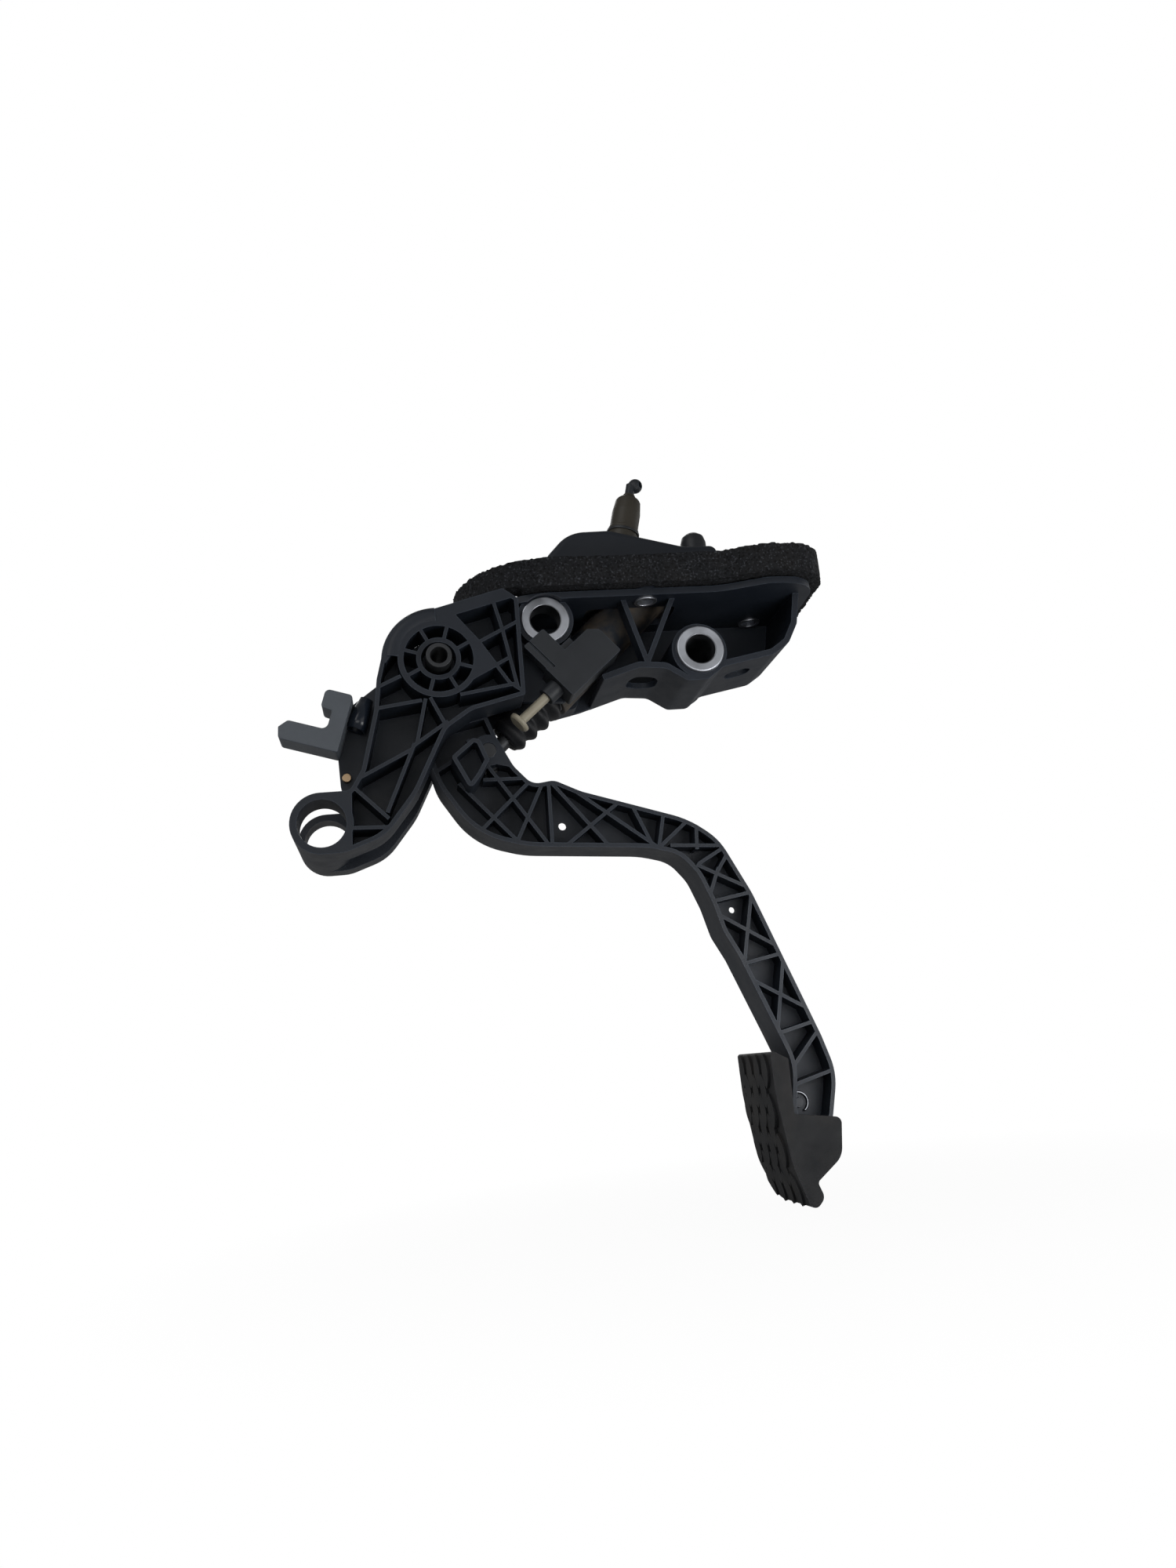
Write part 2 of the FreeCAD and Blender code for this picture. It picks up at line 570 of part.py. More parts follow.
def make_cylinder():
    """Master cylinder: domed head on the flange and the barrel below it, with its bore."""
    head = new_body("cylinder_head_form")
    dome_near = "(Sizes.dome_shift - Sizes.dome_width / 2)"
    dome_far = "(Sizes.dome_shift + Sizes.dome_width / 2)"
    corners = [(x, max(z, flange_top - pivot.z) if z < 40 else z, r) for x, z, r in DOME]
    pad_y(head, "dome", outline_at(point, corners), dome_near, dome_far)
    dome = head.Tip
    sides = [f"Edge{number}" for number, edge in enumerate(dome.Shape.Edges, start=1)
             if edge.BoundBox.YLength < 0.01 and edge.BoundBox.ZMax > flange_top + 1]
    rounding = head.newObject("PartDesign::Fillet", "dome_rounding")
    rounding.Base = (dome, sides)
    rounding.Radius = 3.6
    doc.recompute()
    barrel = rod("barrel_form", "Sizes.barrel_radius", "Sizes.barrel_length",
                 rod_place.multiply(Placement(Vector(0, 0, dim("barrel_start")), Rotation())))
    shell = doc.addObject("Part::Fuse", "cylinder_form")
    shell.Base = head
    shell.Tool = barrel
    bore = rod("bore_form", "Sizes.bore_radius", "Sizes.bore_depth", barrel.Placement)
    mouth = rod("mouth_form", "Sizes.bore_radius + Sizes.seal_depth", "Sizes.seal_depth", barrel.Placement)
    hollow = doc.addObject("Part::Fuse", "bore_and_mouth")
    hollow.Base = bore
    hollow.Tool = mouth
    body = doc.addObject("Part::Cut", "cylinder_body")
    body.Base = shell
    body.Tool = hollow
    doc.recompute()
    return body


def in_rod(height):
    """Placement on the cylinder axis at a distance from the rod pin."""
    return rod_place.multiply(Placement(Vector(0, 0, height), Rotation()))


def make_rod_parts():
    """Push rod, piston, seals, stop ring and boot on the cylinder axis."""
    start = dim("barrel_start")
    rest = start + dim("seal_depth") + 0.3
    ring = tube("stop_ring", "Sizes.bore_radius + Sizes.seal_depth", "Sizes.rod_radius + 1.5",
                "Sizes.seal_depth", in_rod(start))
    piston_r = dim("bore_radius") - dim("run_fit")
    groove_r = piston_r - dim("seal_depth")
    ball = dim("ball_radius")
    socket_r = ball + dim("run_fit")
    socket = 2 * ball + dim("run_fit")
    length = dim("piston_length")
    width = dim("seal_width")
    grooves = (socket + 3, length - width - 6)
    profile = [(socket_r, 0), (piston_r, 0)]
    for low in grooves:
        profile += [(piston_r, low), (groove_r, low), (groove_r, low + width), (piston_r, low + width)]
    profile += [(piston_r, length), (0, length), (0, socket), (socket_r, socket)]
    piston = turned("piston", profile, in_rod(rest))
    seals = [
        tube(name, "Sizes.bore_radius - Sizes.run_fit",
             "Sizes.bore_radius - Sizes.run_fit - Sizes.seal_depth",
             "Sizes.seal_width", in_rod(rest + low))
        for name, low in zip(("secondary_seal", "primary_seal"), grooves)
    ]
    return [ring, piston, *seals, make_push_rod(rest), make_boot()]


def make_push_rod(rest):
    """Push rod: flat eye on the pin, round shank and the ball in the piston."""
    body = new_body("push_rod")
    eye = Vector(0, 0, 0)
    slot_half = dim("eye_play")
    slot_r = dim("pin_radius") + 0.15
    slot = rounded([
        (eye + Vector(a * (slot_half + slot_r), b * slot_r, 0), slot_r * 0.999)
        for a, b in ((-1, -1), (1, -1), (1, 1), (-1, 1))
    ])
    half = "Sizes.eye_thick / 2"
    pad_y(body, "eye", [circle(eye, dim("eye_radius"))] + slot, f"(-{half})", f"({half})")
    ball_height = rest + dim("ball_radius")
    shank = body.newObject("PartDesign::AdditiveCylinder", "shank")
    shank.setExpression("Radius", "Sizes.rod_radius")
    neck = math.sqrt(dim("eye_radius") ** 2 - dim("rod_radius") ** 2)
    shank.Height = ball_height - neck
    shank.Placement = Placement(Vector(0, 0, neck), Rotation())
    knob = body.newObject("PartDesign::AdditiveSphere", "ball")
    knob.setExpression("Radius", "Sizes.ball_radius")
    knob.Placement = Placement(Vector(0, 0, ball_height), Rotation())
    body.Placement = rod_place
    doc.recompute()
    return body


def make_boot():
    """Stepped rubber boot between the push rod and the cylinder mouth."""
    wall = 1.2
    folds = 4
    low = dim("eye_radius") + 5
    high = dim("barrel_start")
    small = dim("rod_radius") + 4.5
    large = dim("barrel_radius")
    step = (high - low) / folds
    outside = []
    for fold in range(folds):
        base = low + fold * step
        ridge = small + (large - small) * (fold + 1) / folds
        outside += [(ridge - 2, base), (ridge, base + step * 0.25), (ridge, base + step * 0.55),
                    (ridge - 2, base + step * 0.8)]
    outside += [(large - 2, high)]
    inside = [(radius - wall, height) for radius, height in reversed(outside)]
    inside[-1] = (dim("rod_radius") + 0.05, low + 1.2)
    inside.append((dim("rod_radius") + 0.05, low))
    return turned("rod_boot", outside + inside, rod_place)


# Arm outline, (x, z, corner radius), from the hub round the foot and back
ARM_RIGHT = (
    (19, -14, 12), (26.5, -36, 12), (33.5, -51, 16), (42, -61, 8), (53, -59.6, 8), (66, -66.3, 30), (119, -84.5, 50),
    (133.2, -96, 30), (146.2, -124, 60), (171.1, -196.8, 60), (176, -215, 30), (171, -234.5, 3), (165.5, -243, 2),
)
ARM_LEFT = (
    (151.5, -243, 2), (151.8, -228, 10), (154.9, -208, 25), (149, -191.5, 60), (135.3, -154.5, 20),
    (129.2, -142, 15), (125.6, -127, 30), (120.3, -112.5, 20), (112, -101.6, 18), (97, -97.2, 50),
    (37, -91.9, 60), (12, -84, 40), (-4, -58, 30), (-14, -18, 20),
)
ARM_RIBS = (
    (12, -36, 48, -93), (40, -60, 14, -83), (6, -58, 34, -91), (47.5, -60, 31, -91),
    (50.2, -60, 48.9, -94), (51, -60, 78, -96), (57, -61, 101, -97), (86, -72, 53, -95),
    (90, -73, 98.5, -95), (106.8, -79, 101.8, -98.5), (121, -83, 103, -97), (122.6, -86, 121.2, -100),
    (108, -97, 135, -99.2), (136, -99.7, 121, -107.5), (137.5, -102, 129.5, -113),
    (120, -107.8, 145, -121.5), (131, -110, 123.5, -126), (124.5, -126.9, 148, -123.5),
    (145.8, -125, 137.4, -159), (127, -133, 156, -152), (138, -158.4, 159, -155),
    (158, -155.5, 150, -190), (141, -167.2, 167, -183.5), (150, -193.4, 170, -189.2),
    (171, -192.8, 152.8, -211.8), (151, -219, 176, -213),
    (18, -46.5, 36, -51.5), (18, -57, 40, -57.6), (-3, -30, 26, -24), (-6, -52, 26, -34),
)
ARM_HOLES = ((56.6, -80.9, 2.0), (138.4, -130.5, 1.6))
ARM_EYELET = 4.2
FOOT = (
    (142.2, -204, 1), (146, -206, 1), (145.5, -231.5, 0), (166.5, -236.5, 2), (165, -250, 4), (154, -255.5, 3),
    (148.6, -258.5, 2), (145.4, -250, 15), (142.2, -224, 40),
)
STRIKER = ((2.5, -48, 2), (13.7, -39.2, 2), (17, -40.6, 2), (20.6, -50.7, 1), (16, -58.2, 2), (10.4, -64.8, 2))


def make_arm():
    """Pedal arm: hub, ribbed shank, rod fork, switch striker and the foot that carries the pad."""
    body = new_body("pedal_arm")
    pad_y(body, "hub", [circle(pivot_point, dim("hub_radius"))], ARM_NEAR, ARM_FAR)
    outline = outline_at(point, ((-8, 8, 2), (9, 8, 2)) + ARM_RIGHT + ARM_LEFT)
    pad_y(body, "shank", outline, ARM_NEAR, ARM_FAR)
    foot_near = f"({ARM_MID} - Sizes.foot_width / 2)"
    foot_far = f"({ARM_MID} + Sizes.foot_width / 2)"
    pad_y(body, "foot", outline_at(point, FOOT), foot_near, foot_far)
    striker_near = f"({NEAR_OUT} + 6)"
    pad_y(body, "striker", outline_at(point, STRIKER), striker_near, f"({ARM_NEAR} + 1)")
    field = inset(region(outline), dim("rim_wall"))
    pin_point = Vector(pin_centre.x, pin_centre.z, 0)
    solid = bars(point, ARM_RIBS, dim("rib_wall"))
    solid += [disc(pivot_point, dim("hub_radius")), disc(pin_point, dim("eye_radius"))]
    solid += [disc(point(x, z), ARM_EYELET) for x, z, radius in ARM_HOLES]
    solid.append(region(outline_at(point, STRIKER)))
    arm_cells = cells(field, solid, dim("rib_wall"))
    half_web = "Sizes.web_wall / 2"
    cut_y(body, "near_cells", sketch_curves(arm_cells), ARM_NEAR, f"({ARM_MID} - {half_web})")
    cut_y(body, "far_cells", sketch_curves(arm_cells), f"({ARM_MID} + {half_web})", ARM_FAR)
    striker_room = inset(region(outline_at(point, STRIKER)), dim("rim_wall"))
    cut_y(body, "striker_room", sketch_curves([striker_room]), striker_near, f"({ARM_NEAR} - Sizes.web_wall)")
    holes = [circle(point(x, z), radius) for x, z, radius in ARM_HOLES]
    cut_y(body, "eyelet_holes", holes, ARM_NEAR, ARM_FAR)
    fork_half = "(Sizes.eye_thick / 2 + Sizes.fork_play)"
    cut_y(body, "rod_fork", rod_sweep(pin_point), f"({ARM_MID} - {fork_half})", f"({ARM_MID} + {fork_half})")
    cut_y(body, "pin_hole", [circle(pin_point, dim("pin_radius"))], ARM_NEAR, ARM_FAR)
    bush_seat = dim("axle_radius") + dim("hub_bush_wall")
    cut_y(body, "hub_bore", [circle(pivot_point, bush_seat)], ARM_NEAR, ARM_FAR)
    return body


def rod_sweep(pin_point):
    """Room that the push rod and its eye need in the arm while it swings."""
    play = 1.5
    half = dim("rod_radius") + play
    reach = 40.0
    lift = math.pi / 2 - tilt
    drop = lift - 2 * half_travel
    sector = region([
        Part.LineSegment(a, b) for a, b in zip(*[
            (loop, loop[1:] + loop[:1]) for loop in [[
                pin_point + Vector(-math.sin(lift), math.cos(lift), 0) * half,
                pin_point + Vector(math.sin(drop), -math.cos(drop), 0) * half,
                pin_point + Vector(math.cos(drop), math.sin(drop), 0) * reach
                + Vector(math.sin(drop), -math.cos(drop), 0) * half,
                pin_point + Vector(math.cos(lift), math.sin(lift), 0) * reach
                + Vector(-math.sin(lift), math.cos(lift), 0) * half,
            ]]
        ][0])
    ])
    eye_room = disc(pin_point, dim("eye_radius") + play)
    return sketch_curves(eye_room.fuse(sector).removeSplitter().Faces)


def make_hub():
    """Bearing bushes of the hub and the rod pin."""
    seat = "Sizes.axle_radius + Sizes.hub_bush_wall"
    bore = "Sizes.axle_radius + Sizes.run_fit"
    length = "Sizes.hub_bush_length"
    near = tube("hub_bush_near", seat, bore, length, along_y(pivot_point, arm_near))
    far = tube("hub_bush_far", seat, bore, length, along_y(pivot_point, arm_far - dim("hub_bush_length")))
    pin_point = Vector(pin_centre.x, pin_centre.z, 0)
    pin = rod("rod_pin", "Sizes.pin_radius", "Sizes.arm_thick", along_y(pin_point, arm_near))
    return [near, far, pin]


PAD = (
    (139.3, -200.5, 1.5), (147.8, -205.6, 1), (147, -231, 1.5), (169.5, -234.5, 3), (167, -252, 10),
    (153.5, -262, 2), (156, -269, 4), (149.5, -275.5, 3), (143, -254, 40), (139.3, -222, 80),
)
TREAD_LINE = ((139.3, -202.5), (139.3, -217), (139.9, -230), (142.3, -248), (148.6, -272))
TREAD_ROWS = 7
TREAD_PITCH = 13.0
LEAF_HALF = 8.0
LEAF_WIDE = 4.5
LEAF_RISE = 1.3


def leaf(y):
    """Pointed leaf of two arcs around a place on the tread, long way up."""
    radius = (LEAF_HALF ** 2 + LEAF_WIDE ** 2) / (2 * LEAF_WIDE)
    top = Vector(y, LEAF_HALF, 0)
    bottom = Vector(y, -LEAF_HALF, 0)
    sides = []
    for side in (-1, 1):
        centre = Vector(y - side * (radius - LEAF_WIDE), 0, 0)
        sides.append(arc(centre, bottom, top, Vector(y + side * LEAF_WIDE, 0, 0)))
    return sides


def tread_spots():
    """Places along the tread line with its lean, evenly spaced."""
    runs = [(Vector(*a, 0), Vector(*b, 0)) for a, b in zip(TREAD_LINE, TREAD_LINE[1:])]
    total = sum((b - a).Length for a, b in runs)
    spots = []
    for row in range(TREAD_ROWS):
        left = total * (row + 0.85) / (TREAD_ROWS + 0.7)
        for a, b in runs:
            if left <= (b - a).Length:
                along = (b - a).normalize()
                spots.append((a + along * left, math.degrees(math.atan2(along.x, -along.y))))
                break
            left -= (b - a).Length
    return spots


def add_tread(body):
    """Rows of leaf-shaped lugs on the front of the pad, every other row set half a pitch over."""
    sunk = 0.6
    for row, (spot, lean) in enumerate(tread_spots(), start=1):
        columns = (-1.5, -0.5, 0.5, 1.5) if row % 2 else (-1, 0, 1)
        curves = [curve for column in columns for curve in leaf(arm_mid + column * TREAD_PITCH)]
        place = point(spot.x, spot.y)
        drawing = body.newObject("Sketcher::SketchObject", f"tread_row_{row}_sketch")
        support = next(item for item in body.Origin.OriginFeatures if item.Role == "YZ_Plane")
        drawing.AttachmentSupport = (support, [""])
        drawing.MapMode = "FlatFace"
        drawing.AttachmentOffset = Placement(Vector(0, place.y, place.x + sunk), Rotation(Vector(1, 0, 0), -lean))
        drawing.addGeometry(curves, False)
        feature(body, "Pad", f"tread_row_{row}", drawing, f"{LEAF_RISE + sunk}", True)


def round_far_corner(body):
    """Large round on the pad's lower far corner, cut across the whole pad."""
    radius = 26.0
    spare = 1.0
    far = arm_mid + dim("pad_width") / 2
    bottom = min(z for x, z, corner in PAD) + pivot.z
    right = max(x for x, z, corner in PAD) + pivot.x + spare
    middle = bottom + (radius - spare) / 2
    block = strip(Vector(far - radius, middle, 0), Vector(far + spare, middle, 0), radius + spare)
    waste = block.cut(disc(Vector(far - radius, bottom + radius, 0), radius))
    drawing = body.newObject("Sketcher::SketchObject", "far_corner_sketch")
    support = next(item for item in body.Origin.OriginFeatures if item.Role == "YZ_Plane")
    drawing.AttachmentSupport = (support, [""])
    drawing.MapMode = "FlatFace"
    drawing.AttachmentOffset = Placement(Vector(0, 0, right), Rotation())
    drawing.addGeometry(sketch_curves(waste.Faces), False)
    feature(body, "Pocket", "far_corner", drawing, "60", False)


def make_pad():
    """Rubber pad pulled over the foot of the arm."""
    body = new_body("pedal_pad")
    pad_y(body, "pad_block", outline_at(point, PAD),
          f"({ARM_MID} - Sizes.pad_width / 2)", f"({ARM_MID} + Sizes.pad_width / 2)")
    add_tread(body)
    round_far_corner(body)
    cut_y(body, "foot_socket", outline_at(point, FOOT),
          f"({ARM_MID} - Sizes.foot_width / 2)", f"({ARM_MID} + Sizes.foot_width / 2)")
    outline = outline_at(point, ((-8, 8, 2), (9, 8, 2)) + ARM_RIGHT + ARM_LEFT)
    cut_y(body, "arm_socket", outline, ARM_NEAR, ARM_FAR)
    return body


# Switch, in its own axes: a along the plunger, b across it
SWITCH_CORNER = (64.0, -22.2)
SWITCH_MAIN = ((0, 0, 1), (34.6, 0, 1), (34.6, 15, 3), (30, 19.3, 1), (0, 19.3, 1))
SWITCH_ARM = ((0.3, 15, 0), (14, 15, 0), (14, 34.5, 1), (0.3, 34.5, 1))
SWITCH_ARM_DEPTH = 6.5
SWITCH_STEP = ((14, 18, 0), (21, 18, 0), (21, 22.6, 0.5), (14, 22.6, 0))
SWITCH_GROOVE = ((3.2, 16.5, 0), (4.4, 16.5, 0), (4.4, 36, 0), (3.2, 36, 0))
PLUNGER_AXIS = 9.6


def make_switch():
    """Clutch switch: body, plunger guide and plunger."""
    depth = dim("switch_depth")
    back = near_in - 3
    corner = point(*SWITCH_CORNER)
    place = Placement(Vector(corner.x, 0, corner.y), Rotation(Vector(0, 1, 0), -dim("switch_tilt")))
    body = new_body("switch_body")
    plate_face = f"({NEAR_IN} - 3)"
    outline = rounded([(Vector(a, b, 0), r) for a, b, r in SWITCH_MAIN])
    switch_face = f"({plate_face} - Sizes.switch_depth)"
    pad_y(body, "switch_block", outline, switch_face, plate_face)
    arm = rounded([(Vector(a, b, 0), r) for a, b, r in SWITCH_ARM])
    pad_y(body, "switch_arm", arm, switch_face, f"({switch_face} + {SWITCH_ARM_DEPTH})")
    step = rounded([(Vector(a, b, 0), r) for a, b, r in SWITCH_STEP])
    pad_y(body, "switch_step", step, f"({switch_face} + 2)", f"({switch_face} + {SWITCH_ARM_DEPTH})")
    groove = rounded([(Vector(a, b, 0), r) for a, b, r in SWITCH_GROOVE])
    cut_y(body, "switch_groove", groove, switch_face, f"({switch_face} + 1.2)")
    shank_r = 2.4
    guide_r = 4.6
    head_r = 5.6
    guide = 8.0
    travel = 5.0
    reach = 28.4
    middle = back - depth / 2
    well = guide + 2 * travel
    place_axis = place.multiply(Placement(Vector(0, middle, PLUNGER_AXIS), Rotation(Vector(0, 1, 0), 90)))
    drill = body.newObject("PartDesign::SubtractiveCylinder", "plunger_well")
    drill.Radius = shank_r + 0.1
    drill.Height = well
    drill.Placement = Placement(Vector(0, middle, PLUNGER_AXIS), Rotation(Vector(0, 1, 0), 90))
    body.Placement = place
    doc.recompute()
    guide_part = turned("switch_guide", [(shank_r + 0.1, -guide), (guide_r, -guide), (guide_r, 0),
                                         (shank_r + 0.1, 0)], place_axis)
    plunger = turned("switch_plunger", [(0, -reach), (head_r - 1, -reach), (head_r, -reach + 1),
                                        (head_r, -reach + 2.4), (shank_r, -reach + 3.2),
                                        (shank_r, well - travel - 1), (0, well - travel - 1)], place_axis)
    return [body, guide_part, plunger]


# Sensor, in its own axes: c along the long block, d across it
SENSOR_CORNER = (-51.6, -48.4)
SENSOR = ((-28, 3.4, 2), (0, 3.4, 1), (0, 32.5, 2), (-13.2, 32.5, 2.5), (-13.2, 23, 2), (-7.7, 22.5, 0), (-7.7, 13.2, 3),
          (-26, 13.2, 2), (-29.5, 9, 1))
INSERT = (-47.4, -54.2)


def make_sensor():
    """Position sensor on the wing of the bracket, and the brass insert below it."""
    corner = point(*SENSOR_CORNER)
    body = new_body("sensor_housing")
    wing_face = f"({NEAR_OUT} + 12)"
    outline = rounded([(Vector(c, d, 0), r) for c, d, r in SENSOR])
    pad_y(body, "sensor_block", outline, f"({wing_face} - Sizes.sensor_depth)", wing_face)
    body.Placement = Placement(Vector(corner.x, 0, corner.y), Rotation(Vector(0, 1, 0), dim("sensor_tilt")))
    insert = rod("sensor_insert", "2.2", "3", along_y(point(*INSERT), near_out + 9))
    doc.recompute()
    return [body, insert]


# Hydraulic fittings on the cylinder head
SLOPE_TOP = DOME[3]
SLOPE_FOOT = DOME[4]
CONNECTOR_X = 106.1
NIPPLE_X = 146.6


def make_fittings():
    """Line quick connector with its clip and elbow, and the reservoir feed nipple."""
    fall = (SLOPE_TOP[1] - SLOPE_FOOT[1]) / (SLOPE_FOOT[0] - SLOPE_TOP[0])
    foot = point(CONNECTOR_X, SLOPE_TOP[1] - fall * (CONNECTOR_X - SLOPE_TOP[0]))
    centre_y = dim("dome_shift")
    lean = math.degrees(math.atan(fall))
    place = Placement(Vector(foot.x, centre_y, foot.y), Rotation(Vector(0, 1, 0), lean))
    bore = 2.0
    connector = turned("line_connector", [
        (bore, 0), (8.3, 0), (8.3, 9), (7.8, 10), (7.8, 19), (6.9, 26), (6.2, 27.2), (3.4, 29.6), (3.4, 30.5),
        (bore, 30.5),
    ], place)
    clip = tube("connector_clip", "9", "8.3", "1.6", place.multiply(Placement(Vector(0, 0, 6), Rotation())))
    elbow = new_body("line_elbow")
    neck = elbow.newObject("PartDesign::AdditiveCylinder", "elbow_neck")
    neck.Radius = 2.6
    neck.Height = 6.4
    ball = elbow.newObject("PartDesign::AdditiveSphere", "elbow_ball")
    ball.Radius = 4.0
    ball.Placement = Placement(Vector(2.4, 0, 6.4), Rotation())
    outlet = elbow.newObject("PartDesign::SubtractiveCylinder", "elbow_outlet")
    outlet.Radius = 2.0
    outlet.Height = 6
    outlet.Placement = Placement(Vector(2.4, 0, 6.4), Rotation(Vector(1, 0.6, 0.4), 90))
    elbow.Placement = place.multiply(Placement(Vector(0, 0, 30.5), Rotation(Vector(0, 1, 0), 0)))
    doc.recompute()
    nipple_point = point(NIPPLE_X, SLOPE_FOOT[1])
    nipple = turned("feed_nipple", [(2, 0), (7, 0), (7, 7.5), (6, 11), (3.4, 13), (2, 13)],
                    Placement(Vector(nipple_point.x, centre_y, nipple_point.y), Rotation()))
    return [connector, clip, elbow, nipple]


pieces = [make_bracket(), make_foam(), make_sleeves(), *make_axle(), *make_cross_bushes(), make_cylinder()]
pieces += [*make_rod_parts(), make_arm(), *make_hub(), make_pad(), *make_switch(), *make_sensor(), *make_fittings()]
doc.recompute()

failed = [item.Name for item in doc.Objects if {"Invalid", "Error"} & set(item.State)]
failed += [piece.Label for piece in pieces if piece.Shape.isNull() or not piece.Shape.isValid()]
if failed:
    raise RuntimeError("failed: " + ", ".join(failed))

os.makedirs("parts", exist_ok=True)
for piece in pieces:
    piece.Shape.exportStep(f"parts/{piece.Label}.step")
    print(piece.Label, len(piece.Shape.Solids), round(piece.Shape.Volume / 1000, 2))
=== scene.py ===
"""Looks of a car's clutch pedal: ribbed black mouldings, foam seal, rubber pad and boot, steel bushes."""

import json
import math

import bmesh
import bpy
from bpy.props import FloatProperty, FloatVectorProperty, IntProperty, PointerProperty
from mathutils import Euler, Matrix, Vector, noise


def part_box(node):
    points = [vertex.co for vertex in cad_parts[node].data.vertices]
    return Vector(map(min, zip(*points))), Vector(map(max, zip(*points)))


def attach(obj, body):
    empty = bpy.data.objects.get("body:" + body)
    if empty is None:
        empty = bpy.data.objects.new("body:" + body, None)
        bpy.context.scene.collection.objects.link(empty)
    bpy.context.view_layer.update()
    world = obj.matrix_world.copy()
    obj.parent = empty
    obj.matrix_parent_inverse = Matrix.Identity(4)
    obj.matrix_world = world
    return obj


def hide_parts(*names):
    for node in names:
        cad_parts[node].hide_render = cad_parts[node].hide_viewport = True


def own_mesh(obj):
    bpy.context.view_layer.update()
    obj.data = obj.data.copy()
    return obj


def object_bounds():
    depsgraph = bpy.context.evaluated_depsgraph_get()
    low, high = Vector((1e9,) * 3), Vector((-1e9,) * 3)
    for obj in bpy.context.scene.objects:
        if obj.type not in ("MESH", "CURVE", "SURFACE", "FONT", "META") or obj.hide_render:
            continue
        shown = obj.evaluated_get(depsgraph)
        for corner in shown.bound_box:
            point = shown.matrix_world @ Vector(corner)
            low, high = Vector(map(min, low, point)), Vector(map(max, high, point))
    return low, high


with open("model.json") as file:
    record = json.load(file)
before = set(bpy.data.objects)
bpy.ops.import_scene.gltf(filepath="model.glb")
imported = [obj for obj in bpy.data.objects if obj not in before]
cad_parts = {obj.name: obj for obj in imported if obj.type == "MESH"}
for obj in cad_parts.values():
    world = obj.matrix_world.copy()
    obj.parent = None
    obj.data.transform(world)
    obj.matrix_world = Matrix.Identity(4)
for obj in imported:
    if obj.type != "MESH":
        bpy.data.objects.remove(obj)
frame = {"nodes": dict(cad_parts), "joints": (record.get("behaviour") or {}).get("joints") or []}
cad_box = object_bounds()
NODES = frame["nodes"]

bl_info = {
    "name": "Clutch pedal looks",
    "version": (1, 0, 0),
    "blender": (4, 5, 0),
    "location": "View3D > Sidebar > Pedal",
    "description": "Dresses the clutch pedal's solids with mouldings, rubber, foam and metal finishes",
    "category": "Object",
}

MM = 0.001
PLASTIC_SPECULAR = 0.32
# Colour factor of the painted shade inside the bushes' bores.
BORE_PAINTED_SHADE = 0.35
BUSH_BORE = 8.3 * MM
FLOOR_HALF = 4.0
FLOOR_GAP = 1.0 * MM
MIRRORED_FLOOR = 0.15
FLOOR_NEAR, FLOOR_FAR = 0.12, 0.45
FLOOR_GLOW_NEAR, FLOOR_GLOW_FAR = 0.9, 1.0
HOOD_MOUTH = Vector((-184.1, -25.0, -76.0)) * MM
HOOD_TIP = Vector((-177.6, -25.0, -61.0)) * MM
BOOT_FOLDS = 4
BOOT_FOLD_POINTS = 10
BOOT_SMALL, BOOT_LARGE = 9.0 * MM, 12.2 * MM
BOOT_FOLD_DEPTH = 2.4 * MM
BOOT_WALL = 1.1 * MM
BOOT_ROD_HOLE = 4.05 * MM
PAD_RING, PAD_WIRE = 4.9 * MM, 0.62 * MM
PAD_RING_STEPS = 24
PAD_PIN_FOOT, PAD_PIN_HEAD, PAD_PIN_LENGTH = 2.6 * MM, 2.2 * MM, 3.2 * MM


def colour(name, default, text):
    """Colour property in linear light."""
    return FloatVectorProperty(name=name, description=text, subtype="COLOR", size=3, min=0, max=1, default=default)


def length(name, default, text):
    """Length property in metres."""
    return FloatProperty(name=name, description=text, unit="LENGTH", subtype="DISTANCE", default=default)


class PedalFinish(bpy.types.PropertyGroup):
    """Colours of the pedal's finishes."""

    nylon: colour("Nylon", (0.0084, 0.0118, 0.0184), "Bracket and arm moulding")
    nylon_rub: colour("Rubbed nylon", (0.040, 0.053, 0.071), "Edges of the mouldings where hands rub them")
    switch: colour("Switch plastic", (0.0150, 0.0172, 0.0208), "Switch and small fittings")
    slate: colour("Slate plastic", (0.070, 0.080, 0.093), "Position sensor")
    cream: colour("Cream plastic", (0.27, 0.245, 0.185), "Switch plunger")
    olive: colour("Olive plastic", (0.030, 0.026, 0.019), "Line connector")
    natural: colour("Natural plastic", (0.52, 0.49, 0.41), "Bearing bushes")
    rubber: colour("Rubber", (0.0048, 0.0054, 0.0068), "Pad and boot")
    foam: colour("Foam", (0.0108, 0.0116, 0.0134), "Firewall seal")
    dust: colour("Dust", (0.062, 0.049, 0.035), "Dust in corners and on ledges")
    zinc: colour("Zinc", (0.46, 0.48, 0.52), "Plated steel")
    phosphate: colour("Phosphate", (0.035, 0.037, 0.040), "Black steel")
    brass: colour("Brass", (0.44, 0.31, 0.19), "Threaded insert")


class PedalShape(bpy.types.PropertyGroup):
    """Sizes of the shapes that are added to the solids."""

    edge_round: length("Edge round", 0.40 * MM, "Rounding of moulded edges")
    foam_cell: length("Foam cell", 1.25 * MM, "Mesh cell of the foam")
    pore_pitch: length("Pore pitch", 2.6 * MM, "Distance between foam pores")
    pore_depth: length("Pore depth", 0.9 * MM, "Depth of the foam pores")
    foam_wave: length("Foam wave", 1.2 * MM, "Slow waves of the pressed foam")
    boot_steps: IntProperty(name="Boot steps", description="Points around the boot", default=72, min=12)


